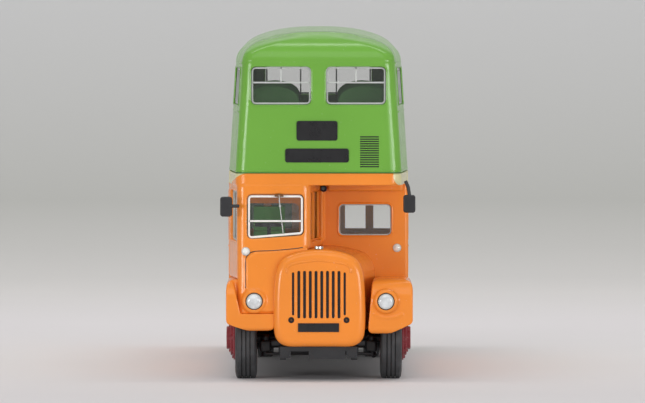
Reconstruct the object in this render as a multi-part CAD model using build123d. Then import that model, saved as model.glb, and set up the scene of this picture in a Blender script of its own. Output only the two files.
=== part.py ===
from build123d import *
import os

# Half-cab double decker bus, a die-cast scale model, in millimetres.
# The front faces -Y and +Z is up. The origin is on the floor, under the middle of the model.
# The offside, with the driver's cab, is -X. The nearside, with the bonnet and the open platform, is +X.

# Overall sizes
overall_length = 108.3
overall_height = 57.6
body_half_width = 15.0
wheelbase_share = 0.6048
front_overhang = 10.5
overrun = 2.0
seam_clearance = 0.02

# Wheels and axles
tyre_radius = 6.7
tyre_bore_radius = 4.7
tyre_inset = 1.2
tyre_width = 3.6
tyre_shoulder = 0.45
twin_width = 6.0
twin_gap = 0.3
axle_radius = 0.8
axle_clearance = 0.05
hub_rim_depth = 0.5
hub_steps = (
    {"radius": 3.7, "reach": 0.3},
    {"radius": 2.9, "reach": 0.8},
    {"radius": 1.9, "reach": 1.5},
)
tyre_outer_x = body_half_width - tyre_inset
tyre_inner_x = tyre_outer_x - tyre_width
twin_inner_x = tyre_outer_x - twin_width

# Places along the body
face_y = -overall_length / 2
tail_y = overall_length / 2
front_axle_y = face_y + front_overhang
rear_axle_y = front_axle_y + overall_length * wheelbase_share
bulkhead_setback = 6.5
bulkhead_y = front_axle_y + bulkhead_setback
platform_share = 0.175
platform_y = tail_y - overall_length * platform_share

# Main heights
wall = 0.9
joint_share = 0.5972
cantrail_share = 0.908
seam_height = 0.2
joint_z = overall_height * joint_share
cantrail_z = overall_height * cantrail_share
lower_top_z = joint_z - seam_height
upper_wall_height = cantrail_z - joint_z

# Upper deck
upper_base_inset = 0.13
upper_lean = 1.12
upper_base_half = body_half_width - upper_base_inset
cantrail_half = upper_base_half - upper_lean
upper_front_reach = 8.0
upper_front_lean = 0.5
upper_tail_inset = 0.5
upper_tail_lean = 0.9
front_taper = 1.3
front_taper_run = 15.0
front_corner_radius = 2.0
tail_corner_radius = 3.0
knuckle_radius = 12.0
roof_power = 2.3
dome_reach = 9.0
roof_level_shares = (0.0, 0.25, 0.46, 0.64, 0.79, 0.9, 0.97, 0.997)
lining_level_shares = (0.0, 0.45, 0.8, 0.95)
roof_corner_share = 0.85

# Upper windows
front_pane_inner = 1.1
front_pane_margin = 2.5
front_pane_outer = cantrail_half - front_pane_margin
front_pane_low_share = 0.6145
front_pane_high_share = 0.9777
front_pane_low_z = joint_z + upper_wall_height * front_pane_low_share
front_pane_high_z = joint_z + upper_wall_height * front_pane_high_share
front_pane_radius = 0.9
side_pane_low_share = 0.609
side_pane_high_share = 0.961
side_pane_low_z = joint_z + upper_wall_height * side_pane_low_share
side_pane_high_z = joint_z + upper_wall_height * side_pane_high_share
side_pane_radius = 0.8
bay_count = 5
bay_start = 1.2
bay_pitch_share = 0.15
bay_pitch = (tail_y - bulkhead_y) * bay_pitch_share
bay_pillar = 1.5
quarter_pane_gap = 1.5
quarter_pane_length = 10.2
tail_quarter_share = 0.12
tail_quarter_length = (tail_y - bulkhead_y) * tail_quarter_share
emergency_share = 0.64
emergency_half = body_half_width * emergency_share

# Lower deck
skirt_inset = 0.2
skirt_half = body_half_width - skirt_inset
skirt_z = 5.6
waist_share = 0.523
waist_z = joint_z * waist_share
lower_pane_low_share = 0.66
lower_pane_high_share = 0.901
lower_pane_low_z = joint_z * lower_pane_low_share
lower_pane_high_z = joint_z * lower_pane_high_share
lower_top_inset = 0.1
lower_top_half = body_half_width - lower_top_inset
lower_tail_inset = 0.3
bulkhead_corner_radius = 0.6
sharp_radius = 0.09
arch_gap = 0.9
arch_radius = tyre_radius + arch_gap
bulkhead_pane_inner = 3.25
bulkhead_pane_margin = 2.7
bulkhead_pane_outer = body_half_width - bulkhead_pane_margin
bulkhead_pane_low_share = 0.677
bulkhead_pane_high_share = 0.837
bulkhead_pane_low_z = joint_z * bulkhead_pane_low_share
bulkhead_pane_high_z = joint_z * bulkhead_pane_high_share
bulkhead_pane_radius = 0.9

# Platform
platform_wall_share = 0.24
platform_wall_x = body_half_width * platform_wall_share
platform_floor_z = 7.0
platform_floor_depth = 1.0
platform_head_share = 0.884
platform_head_z = joint_z * platform_head_share
pole_radius = 0.35
pole_inset = 1.1

# Front wings
wing_overhang = 0.55
wing_outer = body_half_width + wing_overhang
wing_crown = 2.4
wing_high_z = tyre_radius + arch_radius + wing_crown
wing_low_z = 7.8
wing_rise = 1.7
wing_front_reach = 9.4
wing_front_radius = 3.2
wing_top_radius = 2.4
wing_rear_radius = 0.9
wing_wall = 1.0

# Radiator cowl
cowl_share = 0.48
cowl_half = body_half_width * cowl_share
cowl_low_z = 5.67
cowl_high_share = 0.6337
cowl_high_z = joint_z * cowl_high_share
cowl_height = cowl_high_z - cowl_low_z
cowl_shoulder_inset = 1.7
cowl_shoulder_share = 0.926
cowl_bulge_inset = 0.5
cowl_bulge_share = 0.845
cowl_side_share = 0.752
cowl_depth = 3.0
cowl_front_bevel = 0.8
cowl_foot_radius = 2.5
arc_middle_share = 0.2929
cowl_wall = 1.0
plate_depth = 0.15
cowl_front_y = face_y + plate_depth
cowl_back_y = cowl_front_y + cowl_depth

# Slots in the cowl
slot_count = 10
slot_pitch_share = 0.129
slot_width_share = 0.45
slot_pitch = cowl_half * slot_pitch_share
slot_width = slot_pitch * slot_width_share
slot_round_share = 0.49
slot_low_share = 0.293
slot_high_share = 0.777
slot_low_z = cowl_low_z + cowl_height * slot_low_share
slot_high_z = cowl_low_z + cowl_height * slot_high_share
slot_end_drop = 0.25

# Bonnet
bonnet_shoulder = 2.2
bonnet_low_z = 8.2
wing_gap = 0.65
wing_inner = cowl_half + wing_gap

# Canopy and cab
canopy_depth = 2.2
canopy_low_z = joint_z - canopy_depth
canopy_front_inset = 0.15
cab_top_reach = 7.95
cab_foot_reach = 8.9
cab_floor_share = 0.6366
cab_floor_z = joint_z * cab_floor_share
apron_low_z = 11.1
apron_gap = 0.35
cab_front_inset = 1.7
cab_front_half = body_half_width - cab_front_inset
cab_inner_front_x = -1.5
cab_inner_rear_x = 0.9
cab_corner_radius = 1.4
screen_margin = 1.5
screen_outer_x = screen_margin - cab_front_half
screen_inner_x = -2.4
screen_high_share = 0.894
screen_outer_low_share = 0.679
screen_inner_low_share = 0.698
screen_high_z = joint_z * screen_high_share
screen_outer_low_z = joint_z * screen_outer_low_share
screen_inner_low_z = joint_z * screen_inner_low_share
screen_radius = 0.8
cab_side_margin = 1.9
cab_side_low_share = 0.666
cab_side_high_share = 0.907
cab_side_low_z = joint_z * cab_side_low_share
cab_side_high_z = joint_z * cab_side_high_share

# Chassis
chassis_low_z = 4.6
chassis_high_z = 5.5
tongue_inset = 0.6
tongue_half = cowl_half - tongue_inset
notch_gap = 0.5
wheel_notch = twin_inner_x - notch_gap
chassis_front_reach = 7.2
carrier_gap = 1.4
carrier_half = twin_inner_x - carrier_gap
carrier_width = 1.6
carrier_length = 3.2
carrier_high_z = 8.0
screw_boss_radius = 2.0
screw_hole_radius = 0.9
screw_front_setback = 7.15
screw_rear_setback = 2.8

# Interior
liner_clearance = 0.05
glass_depth = 0.5
seat_depth = 5.2
seat_back_depth = 1.1
seat_cushion_share = 0.46
seat_plinth_inset = 0.8
aisle_half = 3.2
upper_floor_depth = 0.8
upper_seat_rows = 8
upper_seat_share = 0.609
upper_seat_height = upper_wall_height * upper_seat_share
upper_seat_start = 9.5
upper_seat_pitch_share = 0.7
upper_seat_pitch = bay_pitch * upper_seat_pitch_share
lower_floor_z = 9.0
lower_seat_height = 11.4
lower_seat_rows = 5
lower_seat_start = 5.0
bench_half = 8.4
bench_high_z = 15.2
saloon_wall_depth = 0.8
doorway_high_share = 0.8
doorway_high_z = joint_z * doorway_high_share
doorway_half = 3.0
saloon_half = skirt_half - wall - liner_clearance * 2
saloon_front_y = bulkhead_y + wall + liner_clearance
saloon_back_y = platform_y - liner_clearance
stair_count = 7
stair_inner_x = -3.0
stair_wall = 0.7

# Driver's place
driver_seat_width = 5.2
driver_seat_height = 6.4
driver_seat_depth = 4.6
driver_cushion_height = 2.4
driver_back_depth = 0.9
driver_seat_inset = 5.1
driver_seat_x = driver_seat_inset - cab_front_half
driver_seat_gap = 0.6
wheel_ring_radius = 2.1
wheel_tube_radius = 0.28
wheel_column_radius = 0.3
wheel_ring_height = 3.7
wheel_ring_reach = 4.0

# Lamps
wing_middle_x = (wing_inner + wing_outer) / 2
headlamp_offside_shift = 1.1
headlamp_nearside_shift = 0.6
headlamp_drop = 3.55
headlamp_z = wing_high_z - headlamp_drop
lens_radius = 1.27
lens_reach = 0.2
lens_bevel = 0.25
lens_bevel_width = 0.6
housing_radius = 2.05
housing_bore_radius = 1.4
housing_depth = 0.75
housing_bevel = 0.35
fog_x_share = 0.632
fog_z_share = 0.2745
fog_radius = 0.42
fog_sink = 0.35
fog_bore_depth = 0.7
side_lamp_radius = 0.7
side_lamp_depth = 0.4
side_lamp_offside_inset = 1.3
side_lamp_nearside_inset = 1.9
side_lamp_share = 0.6206
side_lamp_z = joint_z * side_lamp_share
rear_lamp_z = 11.0
rear_lamp_radius = 0.55
rear_lamp_depth = 0.3

# Blinds and plates
blind_x = -0.25
number_blind_width = 6.75
number_blind_low_share = 0.2905
number_blind_high_share = 0.472
place_blind_width = 10.5
place_blind_low_share = 0.0894
place_blind_high_share = 0.218
blind_radius = 0.4
blind_depth = 0.12
front_plate_share = 0.9375
front_plate_low_share = 0.154
front_plate_high_share = 0.2435
rear_plate_width = 6.4
rear_plate_low_z = 10.6
rear_plate_high_z = 12.2
rear_plate_inset = 8.0

# Filler cap
cap_radius = 0.75
cap_sink = 0.2
cap_height = 0.6
cap_setback = 1.5

# Mirrors
mirror_overhang = 1.2
mirror_half_span = body_half_width + mirror_overhang
mirror_radius = 0.6
mirror_depth = 0.5
mirror_arm_radius = 0.32
mirror_reach = 9.6
mirror_root_reach = 7.1
offside_mirror_width = 1.95
offside_mirror_low_share = 0.788
offside_mirror_high_share = 0.884
offside_mirror_arm_share = 0.834
nearside_mirror_width = 2.3
nearside_mirror_low_share = 0.802
nearside_mirror_high_share = 0.895

# Underside
crossbar_inset = 0.9
crossbar_half = cowl_half - crossbar_inset
crossbar_low_z = 4.9
crossbar_reach = 8.9
crossbar_depth = 1.1
dumb_iron_width = 1.7
dumb_iron_low_z = 3.8
crossbar_bulge_low_z = 3.65
crossbar_bulge_left = 1.6
crossbar_bulge_right = 4.4
spring_width = 1.0
spring_leaf_depth = 0.45
spring_leaf_count = 3
spring_half_length = 8.5
spring_leaf_step = 1.8
gearbox_width = 5.4
gearbox_length = 9.0
gearbox_low_z = 3.4
gearbox_setback = 21.65
shaft_radius = 0.55
tank_width = 4.4
tank_length = 13.0
tank_low_z = 3.3
tank_inset = 5.2
under_radius = 0.8
axle_case_radius = 1.3
diff_radius = 2.1
exhaust_radius = 0.5
exhaust_inset = 5.6
silencer_radius = 1.2
silencer_length = 10.0
middle_y = (front_axle_y + rear_axle_y) / 2


def ahead(distance):
    """Y of a plane that lies this far in front of the front axle."""
    return front_axle_y - distance


def box(x0, x1, y0, y1, z0, z1):
    """Block between two corners."""
    size = (x1 - x0, y1 - y0, z1 - z0)
    centre = ((x0 + x1) / 2, (y0 + y1) / 2, (z0 + z1) / 2)
    return Pos(*centre) * Box(*size)


def rod_x(x0, x1, y, z, radius):
    """Round bar along X."""
    return Pos((x0 + x1) / 2, y, z) * (Rot(0, 90, 0) * Cylinder(radius, abs(x1 - x0)))


def rod_y(x, z, y0, y1, radius):
    """Round bar along Y."""
    return Pos(x, (y0 + y1) / 2, z) * (Rot(90, 0, 0) * Cylinder(radius, abs(y1 - y0)))


def rod_between(start, end, radius):
    """Round bar from one point to another."""
    path = Line(start, end)
    return sweep(Plane(origin=start, z_dir=path % 0) * Circle(radius), path=path)


def pane_y(x0, x1, z0, z1, radius, y0, y1):
    """Rounded window cutter that runs along Y."""
    plane = Plane(origin=((x0 + x1) / 2, y0, (z0 + z1) / 2), x_dir=(1, 0, 0), z_dir=(0, 1, 0))
    return extrude(plane * RectangleRounded(x1 - x0, z1 - z0, radius), y1 - y0)


def pane_x(y0, y1, z0, z1, radius, x0, x1):
    """Rounded window cutter that runs along X."""
    plane = Plane(origin=(x0, (y0 + y1) / 2, (z0 + z1) / 2), x_dir=(0, 1, 0), z_dir=(1, 0, 0))
    return extrude(plane * RectangleRounded(y1 - y0, z1 - z0, radius), x1 - x0)


def outline(z, half, front, tail, taper, front_radius, tail_radius):
    """Plan of the body at one height, with flanks that taper towards the front."""
    knuckle = front + front_taper_run
    points = [
        (-half + taper, front, z),
        (half - taper, front, z),
        (half, knuckle, z),
        (half, tail, z),
        (-half, tail, z),
        (-half, knuckle, z),
    ]
    radii = [front_radius, front_radius, knuckle_radius, tail_radius, tail_radius, knuckle_radius]
    return Wire(FilletPolyline(*points, radius=radii, close=True).edges())


def square_outline(z, half, front, tail, front_radius, tail_radius):
    """Plan of the body at one height, with straight flanks."""
    points = [(-half, front, z), (half, front, z), (half, tail, z), (-half, tail, z)]
    radii = [front_radius, front_radius, tail_radius, tail_radius]
    return Wire(FilletPolyline(*points, radius=radii, close=True).edges())


def upper_outline(z, inset):
    """Plan of the upper deck wall at one height, moved in by an inset."""
    share = (z - joint_z) / (cantrail_z - joint_z)
    half = upper_base_half + (cantrail_half - upper_base_half) * share - inset
    front = ahead(upper_front_reach - upper_front_lean * share) + inset
    tail = tail_y - upper_tail_inset - upper_tail_lean * share - inset
    front_radius = front_corner_radius - inset
    tail_radius = tail_corner_radius - inset
    return outline(z, half, front, tail, front_taper, front_radius, tail_radius)


def roof_outline(level_share, inset):
    """Plan of the domed roof at one share of its rise, moved in by an inset."""
    rise = overall_height - inset - cantrail_z
    reach_share = (1 - level_share**roof_power) ** (1 / roof_power)
    half = (cantrail_half - inset) * reach_share
    drawn_in = dome_reach * (1 - reach_share)
    front = ahead(upper_front_reach - upper_front_lean) + inset + drawn_in
    tail = tail_y - upper_tail_inset - upper_tail_lean - inset - drawn_in
    top_share = roof_level_shares[-1] if inset == 0 else lining_level_shares[-1]
    z = cantrail_z + rise * level_share / top_share
    side_move = cantrail_half - inset - half
    front_radius = min(front_corner_radius - inset + side_move, half * roof_corner_share)
    tail_radius = min(tail_corner_radius - inset + side_move, half * roof_corner_share)
    return outline(z, half, front, tail, front_taper * reach_share, front_radius, tail_radius)


def upper_block(inset, low_z):
    """Solid block of the upper deck, moved in by an inset."""
    walls = Solid.make_loft([upper_outline(low_z, inset), upper_outline(cantrail_z, inset)], True)
    shares = roof_level_shares if inset == 0 else lining_level_shares
    roof = Solid.make_loft([roof_outline(share, inset) for share in shares], True)
    return walls + roof


def bay_ends(index):
    """Y where one side window starts and ends."""
    start = bulkhead_y + bay_start + bay_pitch * index
    return start, start + bay_pitch - bay_pillar


def upper_side_panes():
    """Y ends of every side window of the upper deck."""
    ends = [bay_ends(index) for index in range(bay_count)]
    first = ends[0][0] - quarter_pane_gap
    last = ends[-1][1] + quarter_pane_gap
    return [(first - quarter_pane_length, first)] + ends + [(last, last + tail_quarter_length)]


def upper_deck_shell():
    """Green casting of the upper deck: walls, domed roof and window openings."""
    shell = upper_block(0, joint_z) - upper_block(wall, joint_z)
    side_reach = body_half_width + overrun
    for start, end in upper_side_panes():
        shell -= pane_x(start, end, side_pane_low_z, side_pane_high_z, side_pane_radius, -side_reach, side_reach)
    front_y = ahead(upper_front_reach + overrun)
    back_y = ahead(upper_front_reach - front_corner_radius)
    for side in (-1, 1):
        low, high = sorted((side * front_pane_inner, side * front_pane_outer))
        shell -= pane_y(low, high, front_pane_low_z, front_pane_high_z, front_pane_radius, front_y, back_y)
    tail_start = tail_y - tail_corner_radius
    shell -= pane_y(-emergency_half, emergency_half, side_pane_low_z, side_pane_high_z, front_pane_radius,
                    tail_start, tail_y + overrun)
    return shell


def lower_block(inset, front, low_z, high_z):
    """Solid block of the lower deck, moved in by an inset."""
    sections = [
        (low_z, skirt_half),
        (waist_z, body_half_width),
        (high_z, lower_top_half),
    ]
    tail = tail_y - lower_tail_inset - inset
    front_radius = max(bulkhead_corner_radius - inset, sharp_radius)
    tail_radius = tail_corner_radius - inset
    wires = [square_outline(z, half - inset, front, tail, front_radius, tail_radius) for z, half in sections]
    return Solid.make_loft(wires, True)


def lower_deck_shell():
    """Orange casting of the lower deck: bulkhead, sides, rear wall, arches and the open platform corner."""
    shell = lower_block(0, bulkhead_y, skirt_z, lower_top_z)
    shell -= lower_block(wall, bulkhead_y + wall, skirt_z, lower_top_z)
    side_reach = body_half_width + overrun
    for index in range(bay_count):
        start, end = bay_ends(index)
        shell -= pane_x(start, end, lower_pane_low_z, lower_pane_high_z, side_pane_radius, -side_reach, side_reach)
    for axle_y in (front_axle_y, rear_axle_y):
        shell -= rod_x(-side_reach, side_reach, axle_y, tyre_radius, arch_radius)
    for side in (-1, 1):
        low, high = sorted((side * bulkhead_pane_inner, side * bulkhead_pane_outer))
        shell -= pane_y(low, high, bulkhead_pane_low_z, bulkhead_pane_high_z, bulkhead_pane_radius,
                        bulkhead_y - overrun, bulkhead_y + overrun)
    shell -= box(platform_wall_x, side_reach, platform_y, tail_y + overrun, skirt_z - overrun, platform_head_z)
    rear_pane_outer = -(body_half_width - tail_corner_radius)
    shell -= pane_y(rear_pane_outer, platform_wall_x - tail_corner_radius, lower_pane_low_z, lower_pane_high_z,
                    front_pane_radius, tail_y - tail_corner_radius, tail_y + overrun)
    return shell


def front_canopy():
    """Orange band under the upper deck, over the cab and the engine."""
    front = ahead(upper_front_reach) + canopy_front_inset
    plan = outline(canopy_low_z, upper_base_half, front, tail_y, front_taper, front_corner_radius,
                   tail_corner_radius)
    canopy = extrude(make_face(plan), lower_top_z - canopy_low_z)
    side_reach = body_half_width + overrun
    return canopy - box(-side_reach, side_reach, bulkhead_y, tail_y + overrun, canopy_low_z - overrun,
                        lower_top_z + overrun)


def cowl_wire(half_left, half_right, y, inset):
    """Front outline of the cowl or bonnet at one Y, with its crowned top, moved in by an inset."""
    left = inset - half_left
    right = half_right - inset
    foot_z = cowl_low_z + inset
    foot = cowl_foot_radius - inset
    foot_middle = foot * arc_middle_share
    side_z = cowl_low_z + cowl_height * cowl_side_share
    bulge_z = cowl_low_z + cowl_height * cowl_bulge_share - inset / 2
    shoulder_z = cowl_low_z + cowl_height * cowl_shoulder_share - inset
    edges = [
        Line((left + foot, y, foot_z), (right - foot, y, foot_z)),
        ThreePointArc((right - foot, y, foot_z), (right - foot_middle, y, foot_z + foot_middle),
                      (right, y, foot_z + foot)),
        Line((right, y, foot_z + foot), (right, y, side_z)),
        ThreePointArc((right, y, side_z), (right - cowl_bulge_inset, y, bulge_z),
                      (right - cowl_shoulder_inset, y, shoulder_z)),
        ThreePointArc((right - cowl_shoulder_inset, y, shoulder_z), (0, y, cowl_high_z - inset),
                      (left + cowl_shoulder_inset, y, shoulder_z)),
        ThreePointArc((left + cowl_shoulder_inset, y, shoulder_z), (left + cowl_bulge_inset, y, bulge_z),
                      (left, y, side_z)),
        Line((left, y, side_z), (left, y, foot_z + foot)),
        ThreePointArc((left, y, foot_z + foot), (left + foot_middle, y, foot_z + foot_middle),
                      (left + foot, y, foot_z)),
    ]
    return Wire(edges)


def cowl_block():
    """Outer block of the radiator cowl, with its bevelled front."""
    wires = [
        cowl_wire(cowl_half, cowl_half, cowl_front_y, cowl_front_bevel),
        cowl_wire(cowl_half, cowl_half, cowl_front_y + cowl_front_bevel, 0),
        cowl_wire(cowl_half, cowl_half, cowl_back_y, 0),
    ]
    return Solid.make_loft(wires, True)


def radiator_cowl():
    """Cowl with its row of upright slots cut through to the core, and a hole for each fog lamp."""
    cowl = cowl_block()
    cowl -= box(-cowl_half + cowl_wall, cowl_half - cowl_wall, cowl_front_y + cowl_wall, cowl_back_y,
                slot_low_z - cowl_wall, slot_high_z + cowl_wall)
    for index in range(slot_count):
        x = (index - (slot_count - 1) / 2) * slot_pitch
        drop = slot_end_drop if index in (0, slot_count - 1) else 0
        cowl -= pane_y(x - slot_width / 2, x + slot_width / 2, slot_low_z + drop, slot_high_z - drop,
                       slot_width * slot_round_share, face_y - overrun, cowl_back_y)
    for side in (-1, 1):
        cowl -= rod_y(side * cowl_half * fog_x_share, cowl_low_z + cowl_height * fog_z_share, face_y,
                      cowl_front_y + fog_bore_depth, fog_radius)
    return cowl


def radiator_core():
    """Dark core that fills the cowl behind its slots."""
    half = cowl_half - cowl_wall
    return box(-half, half, cowl_front_y + cowl_wall + wall, cowl_back_y, slot_low_z - cowl_wall,
               slot_high_z + cowl_wall)


def bonnet():
    """Engine cover from the cowl back to the bulkhead, wider on the nearside at the bulkhead."""
    front_wire = cowl_wire(cowl_half, cowl_half, cowl_back_y, 0)
    rear_wire = cowl_wire(cowl_half, cowl_half + bonnet_shoulder, bulkhead_y, 0)
    block = Solid.make_loft([front_wire, rear_wire], True)
    side_reach = body_half_width + overrun
    return block - box(-side_reach, side_reach, face_y, bulkhead_y + overrun, 0, bonnet_low_z)


def wing(side, bonnet_solid):
    """Front wing over one wheel: its front outline crossed with its side outline, arched round the tyre."""
    front = ahead(wing_front_reach)
    face = [
        (wing_inner, front, wing_low_z),
        (wing_middle_x, front, wing_low_z),
        (wing_outer, front, wing_low_z + wing_rise),
        (wing_outer, front, wing_high_z),
        (wing_inner, front, wing_high_z),
    ]
    face_radii = [wing_rear_radius, wing_top_radius, wing_rear_radius, wing_top_radius, wing_rear_radius]
    front_face = make_face(FilletPolyline(*face, radius=face_radii, close=True))
    block = extrude(front_face, bulkhead_y - front, dir=(0, 1, 0))
    profile = [
        (wing_inner, front, wing_low_z),
        (wing_inner, front, wing_high_z),
        (wing_inner, bulkhead_y, wing_high_z),
        (wing_inner, bulkhead_y, wing_low_z),
    ]
    radii = [wing_rear_radius, wing_front_radius, wing_rear_radius, wing_rear_radius]
    side_face = make_face(FilletPolyline(*profile, radius=radii, close=True))
    block &= extrude(side_face, wing_outer - wing_inner, dir=(1, 0, 0))
    block -= rod_x(wing_inner + wing_wall, wing_outer + overrun, front_axle_y, tyre_radius, arch_radius)
    block -= box(wing_inner + wing_wall, wing_outer + overrun, ahead(arch_radius), bulkhead_y + overrun,
                 wing_low_z - overrun, tyre_radius)
    if side < 0:
        block = mirror(block, about=Plane.YZ)
        block -= box(-cab_front_half - apron_gap, 0, face_y, ahead(arch_radius), apron_low_z, wing_high_z + overrun)
    return block - bonnet_solid


def cab_reach(z):
    """How far the cab's raked front stands in front of the front axle at one height."""
    share = (z - apron_low_z) / (canopy_low_z - apron_low_z)
    return cab_foot_reach + (cab_top_reach - cab_foot_reach) * share


def cab_wire(inset, z):
    """Plan of the cab at one height, moved in by an inset."""
    front = ahead(cab_reach(z)) + inset
    points = [
        (-cab_front_half + inset, front, z),
        (cab_inner_front_x - inset, front, z),
        (cab_inner_rear_x - inset, bulkhead_y, z),
        (-lower_top_half + inset, bulkhead_y, z),
    ]
    front_radius = max(cab_corner_radius - inset, sharp_radius)
    radii = [front_radius, front_radius, sharp_radius, sharp_radius]
    return Wire(FilletPolyline(*points, radius=radii, close=True).edges())


def cab_block(inset, low_z):
    """Solid block of the cab up to the canopy, moved in by an inset."""
    return Solid.make_loft([cab_wire(inset, low_z), cab_wire(inset, canopy_low_z)], True)


def cab_shell(bonnet_solid, cowl_solid):
    """Driver's cab over the offside wing, with its windscreen and side windows cut and its apron in front."""
    side_reach = body_half_width + overrun
    above_floor = box(-side_reach, side_reach, face_y, bulkhead_y, cab_floor_z - wall, joint_z)
    cab = cab_block(0, apron_low_z) - cab_block(wall, cab_floor_z)
    cab -= cab_block(wall, apron_low_z) - above_floor
    cab -= bonnet_solid
    cab -= cowl_solid
    cab -= box(-side_reach, side_reach, ahead(arch_radius), bulkhead_y + overrun, apron_low_z - overrun,
               wing_high_z)
    plane = Plane(origin=(0, face_y, 0), x_dir=(1, 0, 0), z_dir=(0, 1, 0))
    screen = [
        (screen_outer_x, -screen_outer_low_z),
        (screen_inner_x, -screen_inner_low_z),
        (screen_inner_x, -screen_high_z),
        (screen_outer_x, -screen_high_z),
    ]
    screen_face = plane * make_face(FilletPolyline(*screen, radius=screen_radius, close=True))
    cab -= extrude(screen_face, front_overhang - cab_top_reach + wall * 2)
    side_y0 = ahead(cab_top_reach) + cab_side_margin
    side_y1 = bulkhead_y - cab_side_margin
    cab -= pane_x(side_y0, side_y1, cab_side_low_z, cab_side_high_z, screen_radius, -side_reach,
                  -cab_front_half + wall * 2)
    cab -= pane_x(side_y0, side_y1, cab_side_low_z, cab_side_high_z, screen_radius, cab_inner_front_x - wall * 2,
                  cab_inner_rear_x + overrun)
    return cab


def tyre(inner_x, outer_x, side):
    """Tyre ring, turned from its section, with bevelled shoulders."""
    bevel = tyre_shoulder
    section = [
        (inner_x, tyre_bore_radius),
        (inner_x, tyre_radius - bevel),
        (inner_x + bevel, tyre_radius),
        (outer_x - bevel, tyre_radius),
        (outer_x, tyre_radius - bevel),
        (outer_x, tyre_bore_radius),
    ]
    ring = revolve(make_face(Polyline(*section, close=True)), Axis.X)
    if side < 0:
        ring = mirror(ring, about=Plane.YZ)
    return ring


def hub(inner_x, outer_x, side):
    """Wheel disc inside the tyre, with stepped rings outward."""
    disc = rod_x(inner_x, outer_x - hub_rim_depth, 0, 0, tyre_bore_radius)
    for step in hub_steps:
        disc += rod_x(outer_x - hub_rim_depth * 2, outer_x + step["reach"], 0, 0, step["radius"])
    disc -= rod_x(inner_x - overrun, outer_x - hub_rim_depth, 0, 0, axle_radius)
    if side < 0:
        disc = mirror(disc, about=Plane.YZ)
    return disc


def placed(shapes, axle_y):
    """Shapes made about the axle line, set on one axle."""
    return Compound(children=[Pos(0, axle_y, tyre_radius) * shape for shape in shapes])


def seat_block(x0, x1, front_y, floor_z, height):
    """Bench seat with its upright back, facing the front."""
    low = seat_plinth_inset
    cushion_z = floor_z + height * seat_cushion_share
    back_y = front_y + seat_depth - seat_back_depth
    plane = Plane(origin=(x0, 0, 0), x_dir=(0, 1, 0), z_dir=(1, 0, 0))
    profile = [
        (front_y + low, floor_z),
        (front_y + low, cushion_z - low),
        (front_y, cushion_z - low),
        (front_y, cushion_z),
        (back_y, cushion_z),
        (back_y + low / 2, floor_z + height),
        (front_y + seat_depth + low / 2, floor_z + height),
        (front_y + seat_depth, cushion_z - low),
        (front_y + seat_depth - low, floor_z),
    ]
    return extrude(plane * make_face(Polyline(*profile, close=True)), x1 - x0)


def floor_face(z, inset):
    """Plan of the upper deck at its joint, moved in by an inset."""
    plan = upper_outline(joint_z, inset)
    return Pos(0, 0, z - joint_z) * make_face(plan)


def upper_floor():
    """Floor of the upper deck, on the joint between the two castings."""
    ledge = extrude(floor_face(lower_top_z, wall / 2), seam_height)
    return ledge + extrude(floor_face(joint_z, wall + liner_clearance), upper_floor_depth)


def upper_seats():
    """Rows of bench seats on the upper deck, on both sides of the aisle."""
    outer = cantrail_half - wall - glass_depth - liner_clearance * 4
    seats = []
    for row in range(upper_seat_rows):
        front_y = ahead(upper_front_reach) + upper_seat_start + upper_seat_pitch * row
        half = outer - front_taper if row == 0 else outer
        for low, high in ((-half, -aisle_half), (aisle_half, half)):
            seats.append(seat_block(low, high, front_y, joint_z + upper_floor_depth, upper_seat_height))
    return Compound(children=seats)


def lower_floor():
    """Lower saloon floor with the two benches over the rear wheels."""
    half = saloon_half
    moulding = box(-half, half, saloon_front_y, saloon_back_y, lower_floor_z - platform_floor_depth, lower_floor_z)
    moulding -= rod_x(-body_half_width, -wheel_notch, rear_axle_y, tyre_radius, arch_radius)
    moulding -= rod_x(wheel_notch, body_half_width, rear_axle_y, tyre_radius, arch_radius)
    seat_outer = half - glass_depth - liner_clearance
    for low, high in ((-seat_outer, -wheel_notch), (wheel_notch, seat_outer)):
        bench = box(low, high, rear_axle_y - bench_half, rear_axle_y + bench_half, lower_floor_z, bench_high_z)
        moulding += bench - rod_x(low, high, rear_axle_y, tyre_radius, arch_radius)
    return moulding


def lower_seats():
    """Rows of bench seats in the lower saloon, on both sides of the aisle."""
    outer = saloon_half - glass_depth - liner_clearance
    first_y = saloon_front_y + lower_seat_start
    last_y = rear_axle_y - bench_half - seat_depth - seat_plinth_inset
    pitch = (last_y - first_y) / (lower_seat_rows - 1)
    seats = []
    for row in range(lower_seat_rows):
        for low, high in ((-outer, -aisle_half), (aisle_half, outer)):
            seats.append(seat_block(low, high, first_y + pitch * row, lower_floor_z, lower_seat_height))
    return Compound(children=seats)


def saloon_partition():
    """Wall with a doorway between the lower saloon and the platform."""
    wall_y = saloon_back_y - saloon_wall_depth
    partition = box(-saloon_half, saloon_half, wall_y, saloon_back_y, lower_floor_z, lower_pane_high_z)
    return partition - box(-doorway_half, doorway_half, wall_y - overrun, saloon_back_y + overrun, lower_floor_z,
                           doorway_high_z)


def platform():
    """Low boarding floor at the open rear corner."""
    inset = wall + liner_clearance
    half = skirt_half - inset
    tail = tail_y - lower_tail_inset
    low_z = platform_floor_z - platform_floor_depth
    inner = box(-half, platform_wall_x, platform_y, tail - inset, low_z, platform_floor_z)
    outer = box(platform_wall_x, skirt_half, platform_y, tail, low_z, platform_floor_z)
    corner = outer.edges().filter_by(Axis.Z).group_by(Axis.Y)[-1].sort_by(Axis.X)[-1]
    outer = fillet(corner, tail_corner_radius)
    inner -= box(-half, -half + tail_corner_radius, tail - tail_corner_radius, tail, low_z, platform_floor_z)
    return inner + outer


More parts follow.
